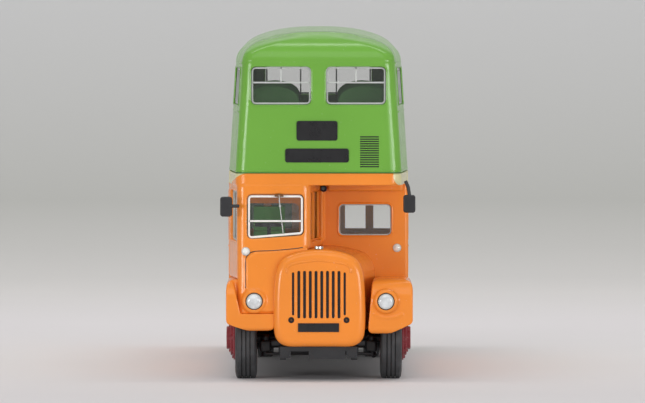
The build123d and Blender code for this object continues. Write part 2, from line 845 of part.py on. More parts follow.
def staircase():
    """Steps up the offside rear corner."""
    outer_x = -(skirt_half - wall - liner_clearance * 2)
    rise = (lower_top_z - platform_floor_z) / (stair_count + 1)
    start = platform_y + stair_wall
    tail = tail_y - lower_tail_inset - wall - liner_clearance
    run = (tail - start) / stair_count
    high_z = platform_floor_z + rise * stair_count
    flight = box(outer_x, stair_inner_x, start, start + run, platform_floor_z, high_z)
    for index in range(1, stair_count):
        y0 = start + run * index
        flight += box(outer_x, stair_inner_x, y0, y0 + run, platform_floor_z, high_z - rise * index)
    return flight - box(outer_x - overrun, outer_x + tail_corner_radius, tail - tail_corner_radius, tail + overrun,
                        platform_floor_z, lower_top_z)


def platform_pole():
    """Upright grab pole at the edge of the platform."""
    x = skirt_half - pole_inset
    y = (platform_y + tail_y) / 2
    return Pos(x, y, (platform_floor_z + platform_head_z) / 2) * Cylinder(
        pole_radius, platform_head_z - platform_floor_z)


def upper_glazing():
    """Clear band behind the upper windows."""
    low_z = side_pane_low_z - wall
    high_z = side_pane_high_z + wall / 2
    outer = wall + liner_clearance
    inner = outer + glass_depth
    block = Solid.make_loft([upper_outline(low_z, outer), upper_outline(high_z, outer)], True)
    return block - Solid.make_loft([upper_outline(low_z, inner), upper_outline(high_z, inner)], True)


def lower_glazing():
    """Clear lining behind the lower windows and the bulkhead window, open at the saloon's rear wall."""
    low_z = lower_pane_low_z - wall
    high_z = lower_pane_high_z + wall / 2
    outer = wall + liner_clearance
    inner = outer + glass_depth
    block = lower_block(outer, bulkhead_y + outer, skirt_z, high_z)
    block -= lower_block(inner, bulkhead_y + inner, skirt_z, high_z)
    behind = platform_y - saloon_wall_depth - liner_clearance * 2
    block -= box(-body_half_width, body_half_width, behind, tail_y, 0, overall_height)
    block -= box(-body_half_width, body_half_width, face_y, tail_y, 0, low_z)
    return block


def cab_glazing():
    """Clear windscreen and side windows of the cab."""
    outer = wall + liner_clearance
    band = cab_block(outer, cab_floor_z) - cab_block(outer + glass_depth, cab_floor_z)
    return band - box(-body_half_width, body_half_width, bulkhead_y - wall, tail_y, 0, overall_height)


def driver_seat():
    """Driver's seat on the cab floor."""
    x0 = driver_seat_x - driver_seat_width / 2
    x1 = driver_seat_x + driver_seat_width / 2
    rear = bulkhead_y - driver_seat_gap
    cushion = box(x0, x1, rear - driver_seat_depth, rear, cab_floor_z, cab_floor_z + driver_cushion_height)
    back = box(x0, x1, rear - driver_back_depth, rear, cab_floor_z, cab_floor_z + driver_seat_height)
    return cushion + back


def steering_wheel():
    """Near-flat steering wheel on its column."""
    y = ahead(wheel_ring_reach)
    z = cab_floor_z + wheel_ring_height
    tube = wheel_tube_radius
    rim = Cylinder(wheel_ring_radius + tube, tube * 2) - Cylinder(wheel_ring_radius - tube, tube * 2)
    column = box(driver_seat_x - wheel_column_radius, driver_seat_x + wheel_column_radius, y - wheel_column_radius,
                 y + wheel_column_radius, cab_floor_z, z)
    spoke = box(driver_seat_x - wheel_ring_radius, driver_seat_x + wheel_ring_radius, y - tube, y + tube, z - tube,
                z + tube / 2)
    return Pos(driver_seat_x, y, z) * rim + column + spoke


def chassis():
    """Black base that closes the model from below, with a carrier round each axle."""
    inset = wall + liner_clearance
    half = skirt_half - inset
    tail = tail_y - lower_tail_inset - inset
    plate = box(-half, half, bulkhead_y + inset, platform_y, chassis_low_z, chassis_high_z)
    rear_half = half - tail_corner_radius
    plate += box(-rear_half, rear_half, platform_y, tail, chassis_low_z, chassis_high_z)
    plate += box(-tongue_half, tongue_half, ahead(chassis_front_reach), bulkhead_y + inset, chassis_low_z,
                 chassis_high_z)
    for side in (-1, 1):
        low, high = sorted((side * wheel_notch, side * body_half_width))
        plate -= box(low, high, rear_axle_y - arch_radius, rear_axle_y + arch_radius, chassis_low_z - overrun,
                     chassis_high_z + overrun)
        for axle_y in (front_axle_y, rear_axle_y):
            inner, outer = sorted((side * (carrier_half - carrier_width), side * carrier_half))
            plate += box(inner, outer, axle_y - carrier_length / 2, axle_y + carrier_length / 2, chassis_high_z,
                         carrier_high_z)
    for axle_y in (front_axle_y, rear_axle_y):
        plate -= rod_x(-body_half_width, body_half_width, axle_y, tyre_radius, axle_radius + axle_clearance)
    boss_height = lower_floor_z - platform_floor_depth - chassis_high_z
    for y in (bulkhead_y + screw_front_setback, platform_y - screw_rear_setback):
        plate += Pos(0, y, chassis_high_z + boss_height / 2) * Cylinder(screw_boss_radius, boss_height)
        plate -= Pos(0, y, chassis_high_z) * Cylinder(screw_hole_radius, overrun * 2)
    return plate


def front_crossbar():
    """Crossbar between the chassis ends, ahead of the front axle."""
    front = ahead(crossbar_reach)
    back = front + crossbar_depth
    bar = box(-crossbar_half, crossbar_half, front, back, crossbar_low_z, cowl_low_z - seam_clearance)
    for side in (-1, 1):
        low, high = sorted((side * (crossbar_half - dumb_iron_width), side * crossbar_half))
        bar += box(low, high, front, back, dumb_iron_low_z, crossbar_low_z)
        bar += box(low, high, back, ahead(chassis_front_reach), dumb_iron_low_z, cowl_low_z - seam_clearance)
    bar += box(-crossbar_bulge_left, crossbar_bulge_right, front, back, crossbar_bulge_low_z, crossbar_low_z)
    return bar


def leaf_springs(axle_y, span, front_limit):
    """Pair of leaf springs under one axle, no further forward than a limit."""
    leaves = []
    for side in (-1, 1):
        x = side * (span - spring_width / 2)
        pack = None
        for index in range(spring_leaf_count):
            reach = spring_half_length - spring_leaf_step * index
            high_z = chassis_low_z - spring_leaf_depth * index
            front = max(axle_y - reach, front_limit)
            leaf = box(x - spring_width / 2, x + spring_width / 2, front, axle_y + reach,
                       high_z - spring_leaf_depth, high_z)
            pack = leaf if pack is None else pack + leaf
        leaves.append(pack)
    return Compound(children=leaves)


def headlamp_places():
    """X and base Y of the two headlamps: on the cab's apron and on the nearside wing."""
    offside_y = ahead(cab_reach(headlamp_z))
    return (headlamp_offside_shift - wing_middle_x, offside_y), (wing_middle_x - headlamp_nearside_shift,
                                                                 ahead(wing_front_reach))


def headlamp_housings(behind):
    """Round bezels of the headlamps, trimmed to what they sit on."""
    shapes = []
    for x, base_y in headlamp_places():
        front = base_y - housing_depth
        bezel = rod_y(x, headlamp_z, front, base_y + wall / 2, housing_radius)
        bezel = chamfer(bezel.edges().group_by(Axis.Y)[0], housing_bevel)
        bezel -= rod_y(x, headlamp_z, front - overrun, base_y + overrun, housing_bore_radius)
        for solid in behind:
            bezel -= solid
        shapes.append(bezel)
    return Compound(children=shapes)


def headlamps(behind):
    """Bulging lenses inside the bezels, trimmed to what they sit on."""
    shapes = []
    for x, base_y in headlamp_places():
        lens = rod_y(x, headlamp_z, base_y - housing_depth - lens_reach, base_y + wall / 2, lens_radius)
        lens = chamfer(lens.edges().group_by(Axis.Y)[0], lens_bevel, lens_bevel_width)
        for solid in behind:
            lens -= solid
        shapes.append(lens)
    return Compound(children=shapes)


def small_lamps(cab_solid):
    """Sidelights on the cab corner and on the bulkhead."""
    cab_front = ahead(cab_reach(side_lamp_z))
    offside = rod_y(side_lamp_offside_inset - cab_front_half, side_lamp_z, cab_front - side_lamp_depth,
                    cab_front + wall / 2, side_lamp_radius)
    nearside = rod_y(body_half_width - side_lamp_nearside_inset, side_lamp_z, bulkhead_y - side_lamp_depth,
                     bulkhead_y, side_lamp_radius)
    return Compound(children=[offside - cab_solid, nearside])


def fog_lamps():
    """Small dark lamps at the bottom of their holes, low on the cowl."""
    z = cowl_low_z + cowl_height * fog_z_share
    front = cowl_front_y + fog_sink
    back = cowl_front_y + fog_bore_depth
    radius = fog_radius - liner_clearance
    shapes = [rod_y(side * cowl_half * fog_x_share, z, front, back, radius) for side in (-1, 1)]
    return Compound(children=shapes)


def rear_lamps():
    """Red lamps on the rear wall."""
    back = tail_y - lower_tail_inset
    x = -(body_half_width - tail_corner_radius - rear_lamp_radius)
    inner_x = platform_wall_x - rear_lamp_radius * 2
    lamps = [rod_y(x, rear_lamp_z, back, back + rear_lamp_depth, rear_lamp_radius)]
    lamps.append(rod_y(inner_x, rear_lamp_z, back, back + rear_lamp_depth, rear_lamp_radius))
    return Compound(children=lamps)


def front_y_at(z):
    """Y of the upper deck's front wall at one height."""
    share = (z - joint_z) / upper_wall_height
    return ahead(upper_front_reach - upper_front_lean * share)


def blinds():
    """Blank black blinds on the front of the upper deck."""
    rows = (
        (number_blind_width, number_blind_low_share, number_blind_high_share),
        (place_blind_width, place_blind_low_share, place_blind_high_share),
    )
    shapes = []
    for width, low_share, high_share in rows:
        low_z = joint_z + upper_wall_height * low_share
        high_z = joint_z + upper_wall_height * high_share
        block = pane_y(blind_x - width / 2, blind_x + width / 2, low_z, high_z, blind_radius,
                       front_y_at(low_z) - blind_depth, front_y_at(high_z) + wall)
        shapes.append(block - upper_block(0, joint_z))
    return Compound(children=shapes)


def plates():
    """Blank plates, front and rear."""
    half = cowl_half * front_plate_share / 2
    front = box(-half, half, face_y, cowl_front_y, cowl_low_z + cowl_height * front_plate_low_share,
                cowl_low_z + cowl_height * front_plate_high_share)
    back = tail_y - lower_tail_inset
    x = rear_plate_inset - body_half_width
    rear = box(x - rear_plate_width / 2, x + rear_plate_width / 2, back, back + plate_depth, rear_plate_low_z,
               rear_plate_high_z)
    return Compound(children=[front, rear])


def filler_cap():
    """Cap on top of the radiator cowl."""
    middle_z = cowl_high_z - cap_sink + cap_height / 2
    return Pos(0, cowl_front_y + cap_setback, middle_z) * Cylinder(cap_radius, cap_height)


def mirror_head(inner, outer, low_share, high_share):
    """Flat rounded head of a mirror, between two X and two shares of the lower deck's height."""
    y = ahead(mirror_reach)
    return pane_y(inner, outer, joint_z * low_share, joint_z * high_share, mirror_radius, y, y + mirror_depth)


def offside_mirror(cab_solid):
    """Black mirror on a short arm from the cab."""
    inner = offside_mirror_width - mirror_half_span
    head = mirror_head(-mirror_half_span, inner, offside_mirror_low_share, offside_mirror_high_share)
    z = joint_z * offside_mirror_arm_share
    start = (inner - mirror_radius, ahead(mirror_reach) + mirror_depth / 2, z)
    end = (-cab_front_half, ahead(mirror_root_reach), z)
    return head + rod_between(start, end, mirror_arm_radius) - cab_solid


def nearside_mirror(canopy_solid):
    """Black mirror on a short arm from under the canopy corner."""
    inner = mirror_half_span - nearside_mirror_width
    head = mirror_head(inner, mirror_half_span, nearside_mirror_low_share, nearside_mirror_high_share)
    start = (inner + mirror_radius, ahead(mirror_reach) + mirror_depth / 2,
             joint_z * nearside_mirror_high_share - mirror_radius)
    end = (cab_front_half, ahead(mirror_root_reach), (canopy_low_z + lower_top_z) / 2)
    return head + rod_between(start, end, mirror_arm_radius) - canopy_solid


def under_box(x0, x1, y0, y1, low_z, radius):
    """Rounded casting on the underside of the base."""
    block = box(x0, x1, y0, y1, low_z, chassis_low_z)
    return fillet(block.faces().sort_by(Axis.Z)[0].edges(), radius)


def gearbox():
    """Gearbox under the floor."""
    y = front_axle_y + gearbox_setback
    return under_box(-gearbox_width / 2, gearbox_width / 2, y - gearbox_length / 2, y + gearbox_length / 2,
                     gearbox_low_z, under_radius)


def fuel_tank():
    """Fuel tank on the offside."""
    x = tank_inset - skirt_half
    return under_box(x - tank_width / 2, x + tank_width / 2, middle_y - tank_length / 2, middle_y + tank_length / 2,
                     tank_low_z, under_radius)


def propeller_shaft():
    """Shaft from the gearbox to the rear axle casing, carried by the base."""
    gearbox_end = front_axle_y + gearbox_setback + gearbox_length / 2
    return rod_y(0, chassis_low_z - shaft_radius, gearbox_end, rear_axle_y - diff_radius, shaft_radius)


def rear_axle_casing():
    """Casing of the rear axle, with its round middle, on the underside of the base."""
    half = wheel_notch - spring_width
    casing = rod_x(-half, half, rear_axle_y, chassis_low_z, axle_case_radius)
    casing += Pos(0, rear_axle_y, chassis_low_z) * Sphere(diff_radius)
    return casing - box(-body_half_width, body_half_width, face_y, tail_y, chassis_low_z, overall_height)


def exhaust():
    """Silencer and tail pipe on the nearside."""
    x = skirt_half - exhaust_inset
    z = chassis_low_z - silencer_radius
    silencer = rod_y(x, z, middle_y - silencer_length / 2, middle_y + silencer_length / 2, silencer_radius)
    return silencer + rod_y(x, z, bulkhead_y + overrun, rear_axle_y - arch_radius - overrun, exhaust_radius)


nodes = {}
nodes["upper_deck_shell"] = upper_deck_shell()
nodes["upper_floor"] = upper_floor()
nodes["upper_seats"] = upper_seats()
nodes["upper_glazing"] = upper_glazing()
nodes["lower_deck_shell"] = lower_deck_shell()
nodes["lower_floor"] = lower_floor()
nodes["lower_seats"] = lower_seats()
nodes["saloon_partition"] = saloon_partition()
nodes["lower_glazing"] = lower_glazing()
nodes["platform"] = platform()
nodes["staircase"] = staircase()
nodes["platform_pole"] = platform_pole()
nodes["front_canopy"] = front_canopy()
nodes["radiator_cowl"] = radiator_cowl()
nodes["radiator_core"] = radiator_core()
nodes["filler_cap"] = filler_cap() - cowl_block()
nodes["bonnet"] = bonnet()
nodes["nearside_wing"] = wing(1, nodes["bonnet"])
nodes["offside_wing"] = wing(-1, nodes["bonnet"])
nodes["cab_shell"] = cab_shell(nodes["bonnet"], cowl_block())
nodes["cab_glazing"] = cab_glazing()
nodes["driver_seat"] = driver_seat()
nodes["steering_wheel"] = steering_wheel()
nodes["chassis"] = chassis()
nodes["front_crossbar"] = front_crossbar()
lamp_beds = (nodes["cab_shell"], nodes["nearside_wing"])
nodes["headlamp_housings"] = headlamp_housings(lamp_beds)
nodes["headlamps"] = headlamps(lamp_beds)
nodes["sidelights"] = small_lamps(nodes["cab_shell"])
nodes["fog_lamps"] = fog_lamps()
nodes["rear_lamps"] = rear_lamps()
nodes["blinds"] = blinds()
nodes["plates"] = plates()
nodes["offside_mirror"] = offside_mirror(nodes["cab_shell"])
nodes["nearside_mirror"] = nearside_mirror(nodes["front_canopy"])
nodes["gearbox"] = gearbox()
nodes["fuel_tank"] = fuel_tank()
nodes["propeller_shaft"] = propeller_shaft()
nodes["rear_axle_casing"] = rear_axle_casing()
nodes["exhaust"] = exhaust()
nodes["front_springs"] = leaf_springs(front_axle_y, carrier_half, ahead(chassis_front_reach))
nodes["rear_springs"] = leaf_springs(rear_axle_y, wheel_notch, face_y)
for name, axle_y, hub_inner in (("front", front_axle_y, tyre_inner_x), ("rear", rear_axle_y, twin_inner_x)):
    half = tyre_outer_x - hub_rim_depth
    nodes[name + "_axle"] = rod_x(-half, half, axle_y, tyre_radius, axle_radius)
    nodes[name + "_hubs"] = placed([hub(hub_inner, tyre_outer_x, side) for side in (-1, 1)], axle_y)
nodes["front_tyres"] = placed([tyre(tyre_inner_x, tyre_outer_x, side) for side in (-1, 1)], front_axle_y)
twin_middle = (twin_inner_x + tyre_outer_x) / 2
twins = []
for side in (-1, 1):
    twins.append(tyre(twin_inner_x, twin_middle - twin_gap / 2, side))
    twins.append(tyre(twin_middle + twin_gap / 2, tyre_outer_x, side))
nodes["rear_tyres"] = placed(twins, rear_axle_y)

os.makedirs("parts", exist_ok=True)
for name, shape in nodes.items():
    export_step(shape, f"parts/{name}.step")
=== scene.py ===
import logging
import math
from dataclasses import dataclass
from enum import Enum
from typing import Callable, Sequence

import bmesh
import bpy
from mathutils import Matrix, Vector


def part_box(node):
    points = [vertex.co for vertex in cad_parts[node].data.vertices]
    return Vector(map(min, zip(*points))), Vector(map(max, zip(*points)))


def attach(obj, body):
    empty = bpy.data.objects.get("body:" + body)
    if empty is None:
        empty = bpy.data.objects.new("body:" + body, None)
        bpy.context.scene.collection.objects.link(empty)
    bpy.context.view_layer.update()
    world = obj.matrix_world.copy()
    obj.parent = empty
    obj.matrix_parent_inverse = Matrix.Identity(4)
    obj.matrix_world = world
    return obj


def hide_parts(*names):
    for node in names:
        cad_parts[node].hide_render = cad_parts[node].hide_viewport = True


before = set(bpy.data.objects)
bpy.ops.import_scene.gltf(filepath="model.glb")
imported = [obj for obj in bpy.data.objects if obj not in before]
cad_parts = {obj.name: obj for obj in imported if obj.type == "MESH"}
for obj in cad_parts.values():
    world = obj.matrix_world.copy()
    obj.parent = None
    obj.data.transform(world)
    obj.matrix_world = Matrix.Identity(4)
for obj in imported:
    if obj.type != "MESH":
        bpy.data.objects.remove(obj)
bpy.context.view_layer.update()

MM = 0.001
BODY = "bus"
FRONT_SET = "front_wheelset"
REAR_SET = "rear_wheelset"
LOG = logging.getLogger("bus")

Point = tuple[float, float, float]
Colour = tuple[float, float, float]
Pair = tuple[float, float]
Path = Sequence[Pair]
Outline = list[Pair]
Mesh = bmesh.types.BMesh
Socket = bpy.types.NodeSocket

FORWARD: Point = (0, -1, 0)


def linear(red: int, green: int, blue: int) -> Colour:
    """Turn an 8-bit display colour into linear light.

    Args:
        red: Red, 0 to 255.
        green: Green, 0 to 255.
        blue: Blue, 0 to 255.

    Returns:
        The three linear shares.
    """
    def channel(value: int) -> float:
        """Linear share of one channel."""
        share = value / 255
        return share / 12.92 if share <= 0.04045 else ((share + 0.055) / 1.055) ** 2.4

    return channel(red), channel(green), channel(blue)


class Side(Enum):
    """Sides of the bus, by the sign of X."""

    OFFSIDE = -1
    NEARSIDE = 1


class Deck(Enum):
    """Decks of the bus, as the pieces are named after them."""

    UPPER = "upper"
    LOWER = "lower"


class Axle(Enum):
    """Axles of the bus, as the pieces are named after them."""

    FRONT = "front"
    REAR = "rear"

    @property
    def carrier(self) -> str:
        """The body that turns with the axle."""
        return FRONT_SET if self is Axle.FRONT else REAR_SET


class Shader:
    """A node material under construction."""

    def __init__(self, name: str) -> None:
        """Start an empty material with one principled shader.

        Args:
            name: Name of the material.
        """
        self.material = bpy.data.materials.new(name)
        self.material.use_nodes = True
        self.tree = self.material.node_tree
        self.tree.nodes.clear()
        self.main = self.node("BsdfPrincipled")
        self.link(self.main.outputs["BSDF"], self.node("OutputMaterial").inputs["Surface"])
        self.place = self.node("TexCoord").outputs["Object"]

    def link(self, source: Socket, target: Socket) -> None:
        """Join two sockets."""
        self.tree.links.new(source, target)

    def node(self, kind: str, **values: float | Sequence[float]) -> bpy.types.Node:
        """Add a node.

        Args:
            kind: Its kind, by the end of its type's name.
            values: Constants, by socket name with underscores.

        Returns:
            The node.
        """
        node = self.tree.nodes.new("ShaderNode" + kind)
        for name, value in values.items():
            node.inputs[name.replace("_", " ")].default_value = value
        return node

    def set(self, **values: float | Sequence[float]) -> None:
        """Set constants on the principled shader, by socket name with underscores."""
        for name, value in values.items():
            self.main.inputs[name.replace("_", " ")].default_value = value

    def noise(self, scale: float, detail: float = 3.0) -> Socket:
        """Noise over the piece.

        Args:
            scale: Features per metre.
            detail: Levels of detail.

        Returns:
            The noise factor socket.
        """
        mapping = self.node("Mapping")
        self.link(self.place, mapping.inputs["Vector"])
        noise = self.node("TexNoise", Scale=scale, Detail=detail)
        self.link(mapping.outputs["Vector"], noise.inputs["Vector"])
        return noise.outputs["Fac"]

    def ranged(self, source: Socket, low: float, high: float, to_low: float = 0.0,
               to_high: float = 1.0) -> Socket:
        """Map a value from one range to another, clamped.

        Args:
            source: The value.
            low: Start of its range.
            high: End of its range.
            to_low: Start of the new range.
            to_high: End of the new range.

        Returns:
            The mapped value.
        """
        node = self.node("MapRange", From_Min=low, From_Max=high, To_Min=to_low, To_Max=to_high)
        self.link(source, node.inputs["Value"])
        return node.outputs["Result"]

    def maths(self, operation: str, first: Socket | float, second: Socket | float) -> Socket:
        """One step of arithmetic on two values.

        Args:
            operation: The sum, by its name in the node.
            first: First value.
            second: Second value.

        Returns:
            The result.
        """
        node = self.node("Math")
        node.operation = operation
        for socket, value in zip(node.inputs, (first, second)):
            if isinstance(value, Socket):
                self.link(value, socket)
            else:
                socket.default_value = value
        return node.outputs["Value"]

    def mix(self, factor: Socket, first: Colour | Socket, second: Colour | Socket) -> Socket:
        """Blend two colours by a factor.

        Args:
            factor: 0 for the first colour and 1 for the second.
            first: First colour.
            second: Second colour.

        Returns:
            The blended colour.
        """
        node = self.node("Mix")
        node.data_type = "RGBA"
        self.link(factor, node.inputs["Factor"])
        for name, value in (("A", first), ("B", second)):
            socket = [s for s in node.inputs if s.name == name and s.type == "RGBA"][0]
            if isinstance(value, Socket):
                self.link(value, socket)
            else:
                socket.default_value = (*value, 1)
        return [s for s in node.outputs if s.type == "RGBA"][0]

    def axis(self, index: int) -> Socket:
        """Place along one axis, in metres.

        Args:
            index: 0 for X, 1 for Y and 2 for Z.

        Returns:
            The place.
        """
        node = self.node("SeparateXYZ")
        self.link(self.place, node.inputs["Vector"])
        return node.outputs[index]

    def colour(self, source: Socket) -> None:
        """Use a socket as the base colour."""
        self.link(source, self.main.inputs["Base Color"])

    def roughness(self, scale: float, low: float, high: float) -> None:
        """Let the roughness wander between two values, with this many features per metre."""
        self.link(self.ranged(self.noise(scale), 0.3, 0.7, low, high), self.main.inputs["Roughness"])

    def bump(self, height: Socket, depth: float, edge: float = 0.0) -> None:
        """Raise the surface by a height map, over softened edges.

        Args:
            height: Height socket, 0 to 1.
            depth: Height of 1, in metres.
            edge: Radius by which sharp edges look rounded, in metres.
        """
        node = self.node("Bump", Strength=1.0, Distance=depth)
        self.link(height, node.inputs["Height"])
        if edge:
            bevel = self.node("Bevel", Radius=edge)
            bevel.samples = 6
            self.link(bevel.outputs["Normal"], node.inputs["Normal"])
        self.link(node.outputs["Normal"], self.main.inputs["Normal"])


class Tint(Enum):
    """Colours of the model, as the photograph's light shows them."""

    GREEN = linear(112, 170, 66)
    ORANGE = linear(241, 142, 52)
    CREAM = linear(214, 208, 160)
    SEAT_GREEN = linear(76, 138, 66)
    BLACK = linear(32, 33, 36)
    PRINT = linear(20, 20, 23)
    MAROON = linear(128, 40, 48)
    SILVER = linear(196, 200, 196)
    WHITE = linear(244, 244, 238)
    RUBBER = linear(52, 53, 55)
    RED = linear(150, 18, 16)
    LENS = linear(226, 230, 232)
    BRONZE = linear(120, 84, 52)


@dataclass(frozen=True)
class GlossPaint:
    """Sprayed enamel on a casting, with a fine peel and faint uneven tone."""

    name: str
    tint: Tint
    base_roughness: float = 0.2
    peel: float = 0.004 * MM
    edge: float = 0.12 * MM
    band: Callable[[Shader, Socket], Socket] | None = None
    deep_share: float = 0.93
    tone_scale: float = 90.0
    speck_scale: float = 2600.0
    speck_strength: float = 0.12
    rough_scale: float = 400.0
    peel_scale: float = 1500.0

    def build(self) -> bpy.types.Material:
        """Make the material.

        Returns:
            The material.
        """
        shade = Shader(self.name)
        base = self.tint.value
        deep = tuple(channel * self.deep_share for channel in base)
        colour = shade.mix(shade.ranged(shade.noise(self.tone_scale), 0.35, 0.65), deep, base)
        if self.band:
            colour = self.band(shade, colour)
        speck = shade.ranged(shade.noise(self.speck_scale, 1.0), 0.74, 0.8, 0.0, self.speck_strength)
        shade.colour(shade.mix(speck, colour, Tint.WHITE.value))
        shade.roughness(self.rough_scale, self.base_roughness - 0.03, self.base_roughness + 0.05)
        shade.set(IOR=1.36, Coat_Weight=0.12, Coat_Roughness=0.08)
        shade.bump(shade.noise(self.peel_scale, 2.0), self.peel, self.edge)
        return shade.material


@dataclass(frozen=True)
class Plastic:
    """Moulded plastic with a fine matt grain."""

    name: str
    tint: Tint
    base_roughness: float = 0.45
    grain: float = 0.012 * MM
    edge: float = 0.1 * MM
    mottle: float = 0.25
    mottle_lift: float = 0.016
    mottle_scale: float = 220.0
    rough_scale: float = 900.0
    grain_scale: float = 5200.0

    def build(self) -> bpy.types.Material:
        """Make the material.

        Returns:
            The material.
        """
        shade = Shader(self.name)
        base = self.tint.value
        lift = self.mottle * self.mottle_lift
        pale = tuple(min(1.0, channel * (1 + self.mottle) + lift) for channel in base)
        shade.colour(shade.mix(shade.ranged(shade.noise(self.mottle_scale, 4.0), 0.35, 0.7), base, pale))
        shade.roughness(self.rough_scale, self.base_roughness - 0.06, self.base_roughness + 0.1)
        shade.bump(shade.noise(self.grain_scale, 2.0), self.grain, self.edge)
        return shade.material


@dataclass(frozen=True)
class Metal:
    """Plated or printed bright trim."""

    name: str
    tint: Tint
    metallic: float = 0.85
    base_roughness: float = 0.24
    dull_share: float = 0.9
    dull_scale: float = 700.0
    rough_scale: float = 1600.0
    grain_scale: float = 3000.0
    grain: float = 0.004 * MM
    edge: float = 0.05 * MM

    def build(self) -> bpy.types.Material:
        """Make the material.

        Returns:
            The material.
        """
        shade = Shader(self.name)
        base = self.tint.value
        dull = tuple(channel * self.dull_share for channel in base)
        shade.colour(shade.mix(shade.ranged(shade.noise(self.dull_scale, 4.0), 0.4, 0.7), base, dull))
        shade.roughness(self.rough_scale, self.base_roughness - 0.05, self.base_roughness + 0.12)
        shade.set(Metallic=self.metallic)
        shade.bump(shade.noise(self.grain_scale, 2.0), self.grain, self.edge)
        return shade.material


@dataclass(frozen=True)
class Clear:
    """Clear moulded glazing: a mirror where it is seen at a glance, see-through elsewhere."""

    name: str
    gain: float = 1.15
    haze: float = 0.02
    refraction: float = 1.49
    ripple: float = 0.02 * MM
    ripple_scale: float = 120.0

    def build(self) -> bpy.types.Material:
        """Make the material.

        Returns:
            The material.
        """
        shade = Shader(self.name)
        shade.colour(shade.mix(shade.noise(60.0), linear(214, 220, 216), linear(240, 242, 240)))
        shade.roughness(300.0, 0.02, 0.07)
        fresnel = shade.node("Fresnel", IOR=self.refraction)
        share = shade.maths("ADD", shade.maths("MULTIPLY", fresnel.outputs["Fac"], self.gain), self.haze)
        shade.link(shade.ranged(share, 0.0, 1.0), shade.main.inputs["Alpha"])
        shade.set(Metallic=1.0)
        shade.bump(shade.noise(self.ripple_scale, 1.0), self.ripple)
        return shade.material


@dataclass(frozen=True)
class Rubber:
    """Tyre rubber with dusty, slightly worn shoulders."""

    name: str
    dust_share: float = 1.7
    dust_lift: float = 0.01
    grain: float = 0.02 * MM
    edge: float = 0.06 * MM

    def build(self) -> bpy.types.Material:
        """Make the material.

        Returns:
            The material.
        """
        shade = Shader(self.name)
        base = Tint.RUBBER.value
        dust = tuple(channel * self.dust_share + self.dust_lift for channel in base)
        worn = shade.ranged(shade.noise(520.0, 5.0), 0.45, 0.75, 0.0, 0.8)
        shade.colour(shade.mix(worn, base, dust))
        shade.roughness(900.0, 0.5, 0.72)
        shade.bump(shade.noise(4200.0, 3.0), self.grain, self.edge)
        return shade.material


@dataclass(frozen=True)
class Lens:
    """Small jewel lens with moulded ribs, and grey blotches of painted shade."""

    name: str
    tint: Tint
    rib_pitch: float = 0.28 * MM
    rib_depth: float = 0.03 * MM
    painted_shade_share: float = 0.72

    def build(self) -> bpy.types.Material:
        """Make the material.

        Returns:
            The material.
        """
        shade = Shader(self.name)
        wave = shade.node("TexWave", Scale=0.5 / self.rib_pitch / math.pi)
        shade.link(shade.place, wave.inputs["Vector"])
        # Painted shade: grey blotches mixed in by noise stand in for the darker facets of a jewel lens.
        painted_shade = tuple(channel * self.painted_shade_share for channel in self.tint.value)
        shade.colour(shade.mix(shade.ranged(shade.noise(900.0, 4.0), 0.35, 0.65), painted_shade, self.tint.value))
        shade.roughness(1500.0, 0.06, 0.16)
        shade.set(IOR=1.5, Coat_Weight=0.8, Coat_Roughness=0.03)
        shade.bump(wave.outputs["Fac"], self.rib_depth)
        return shade.material


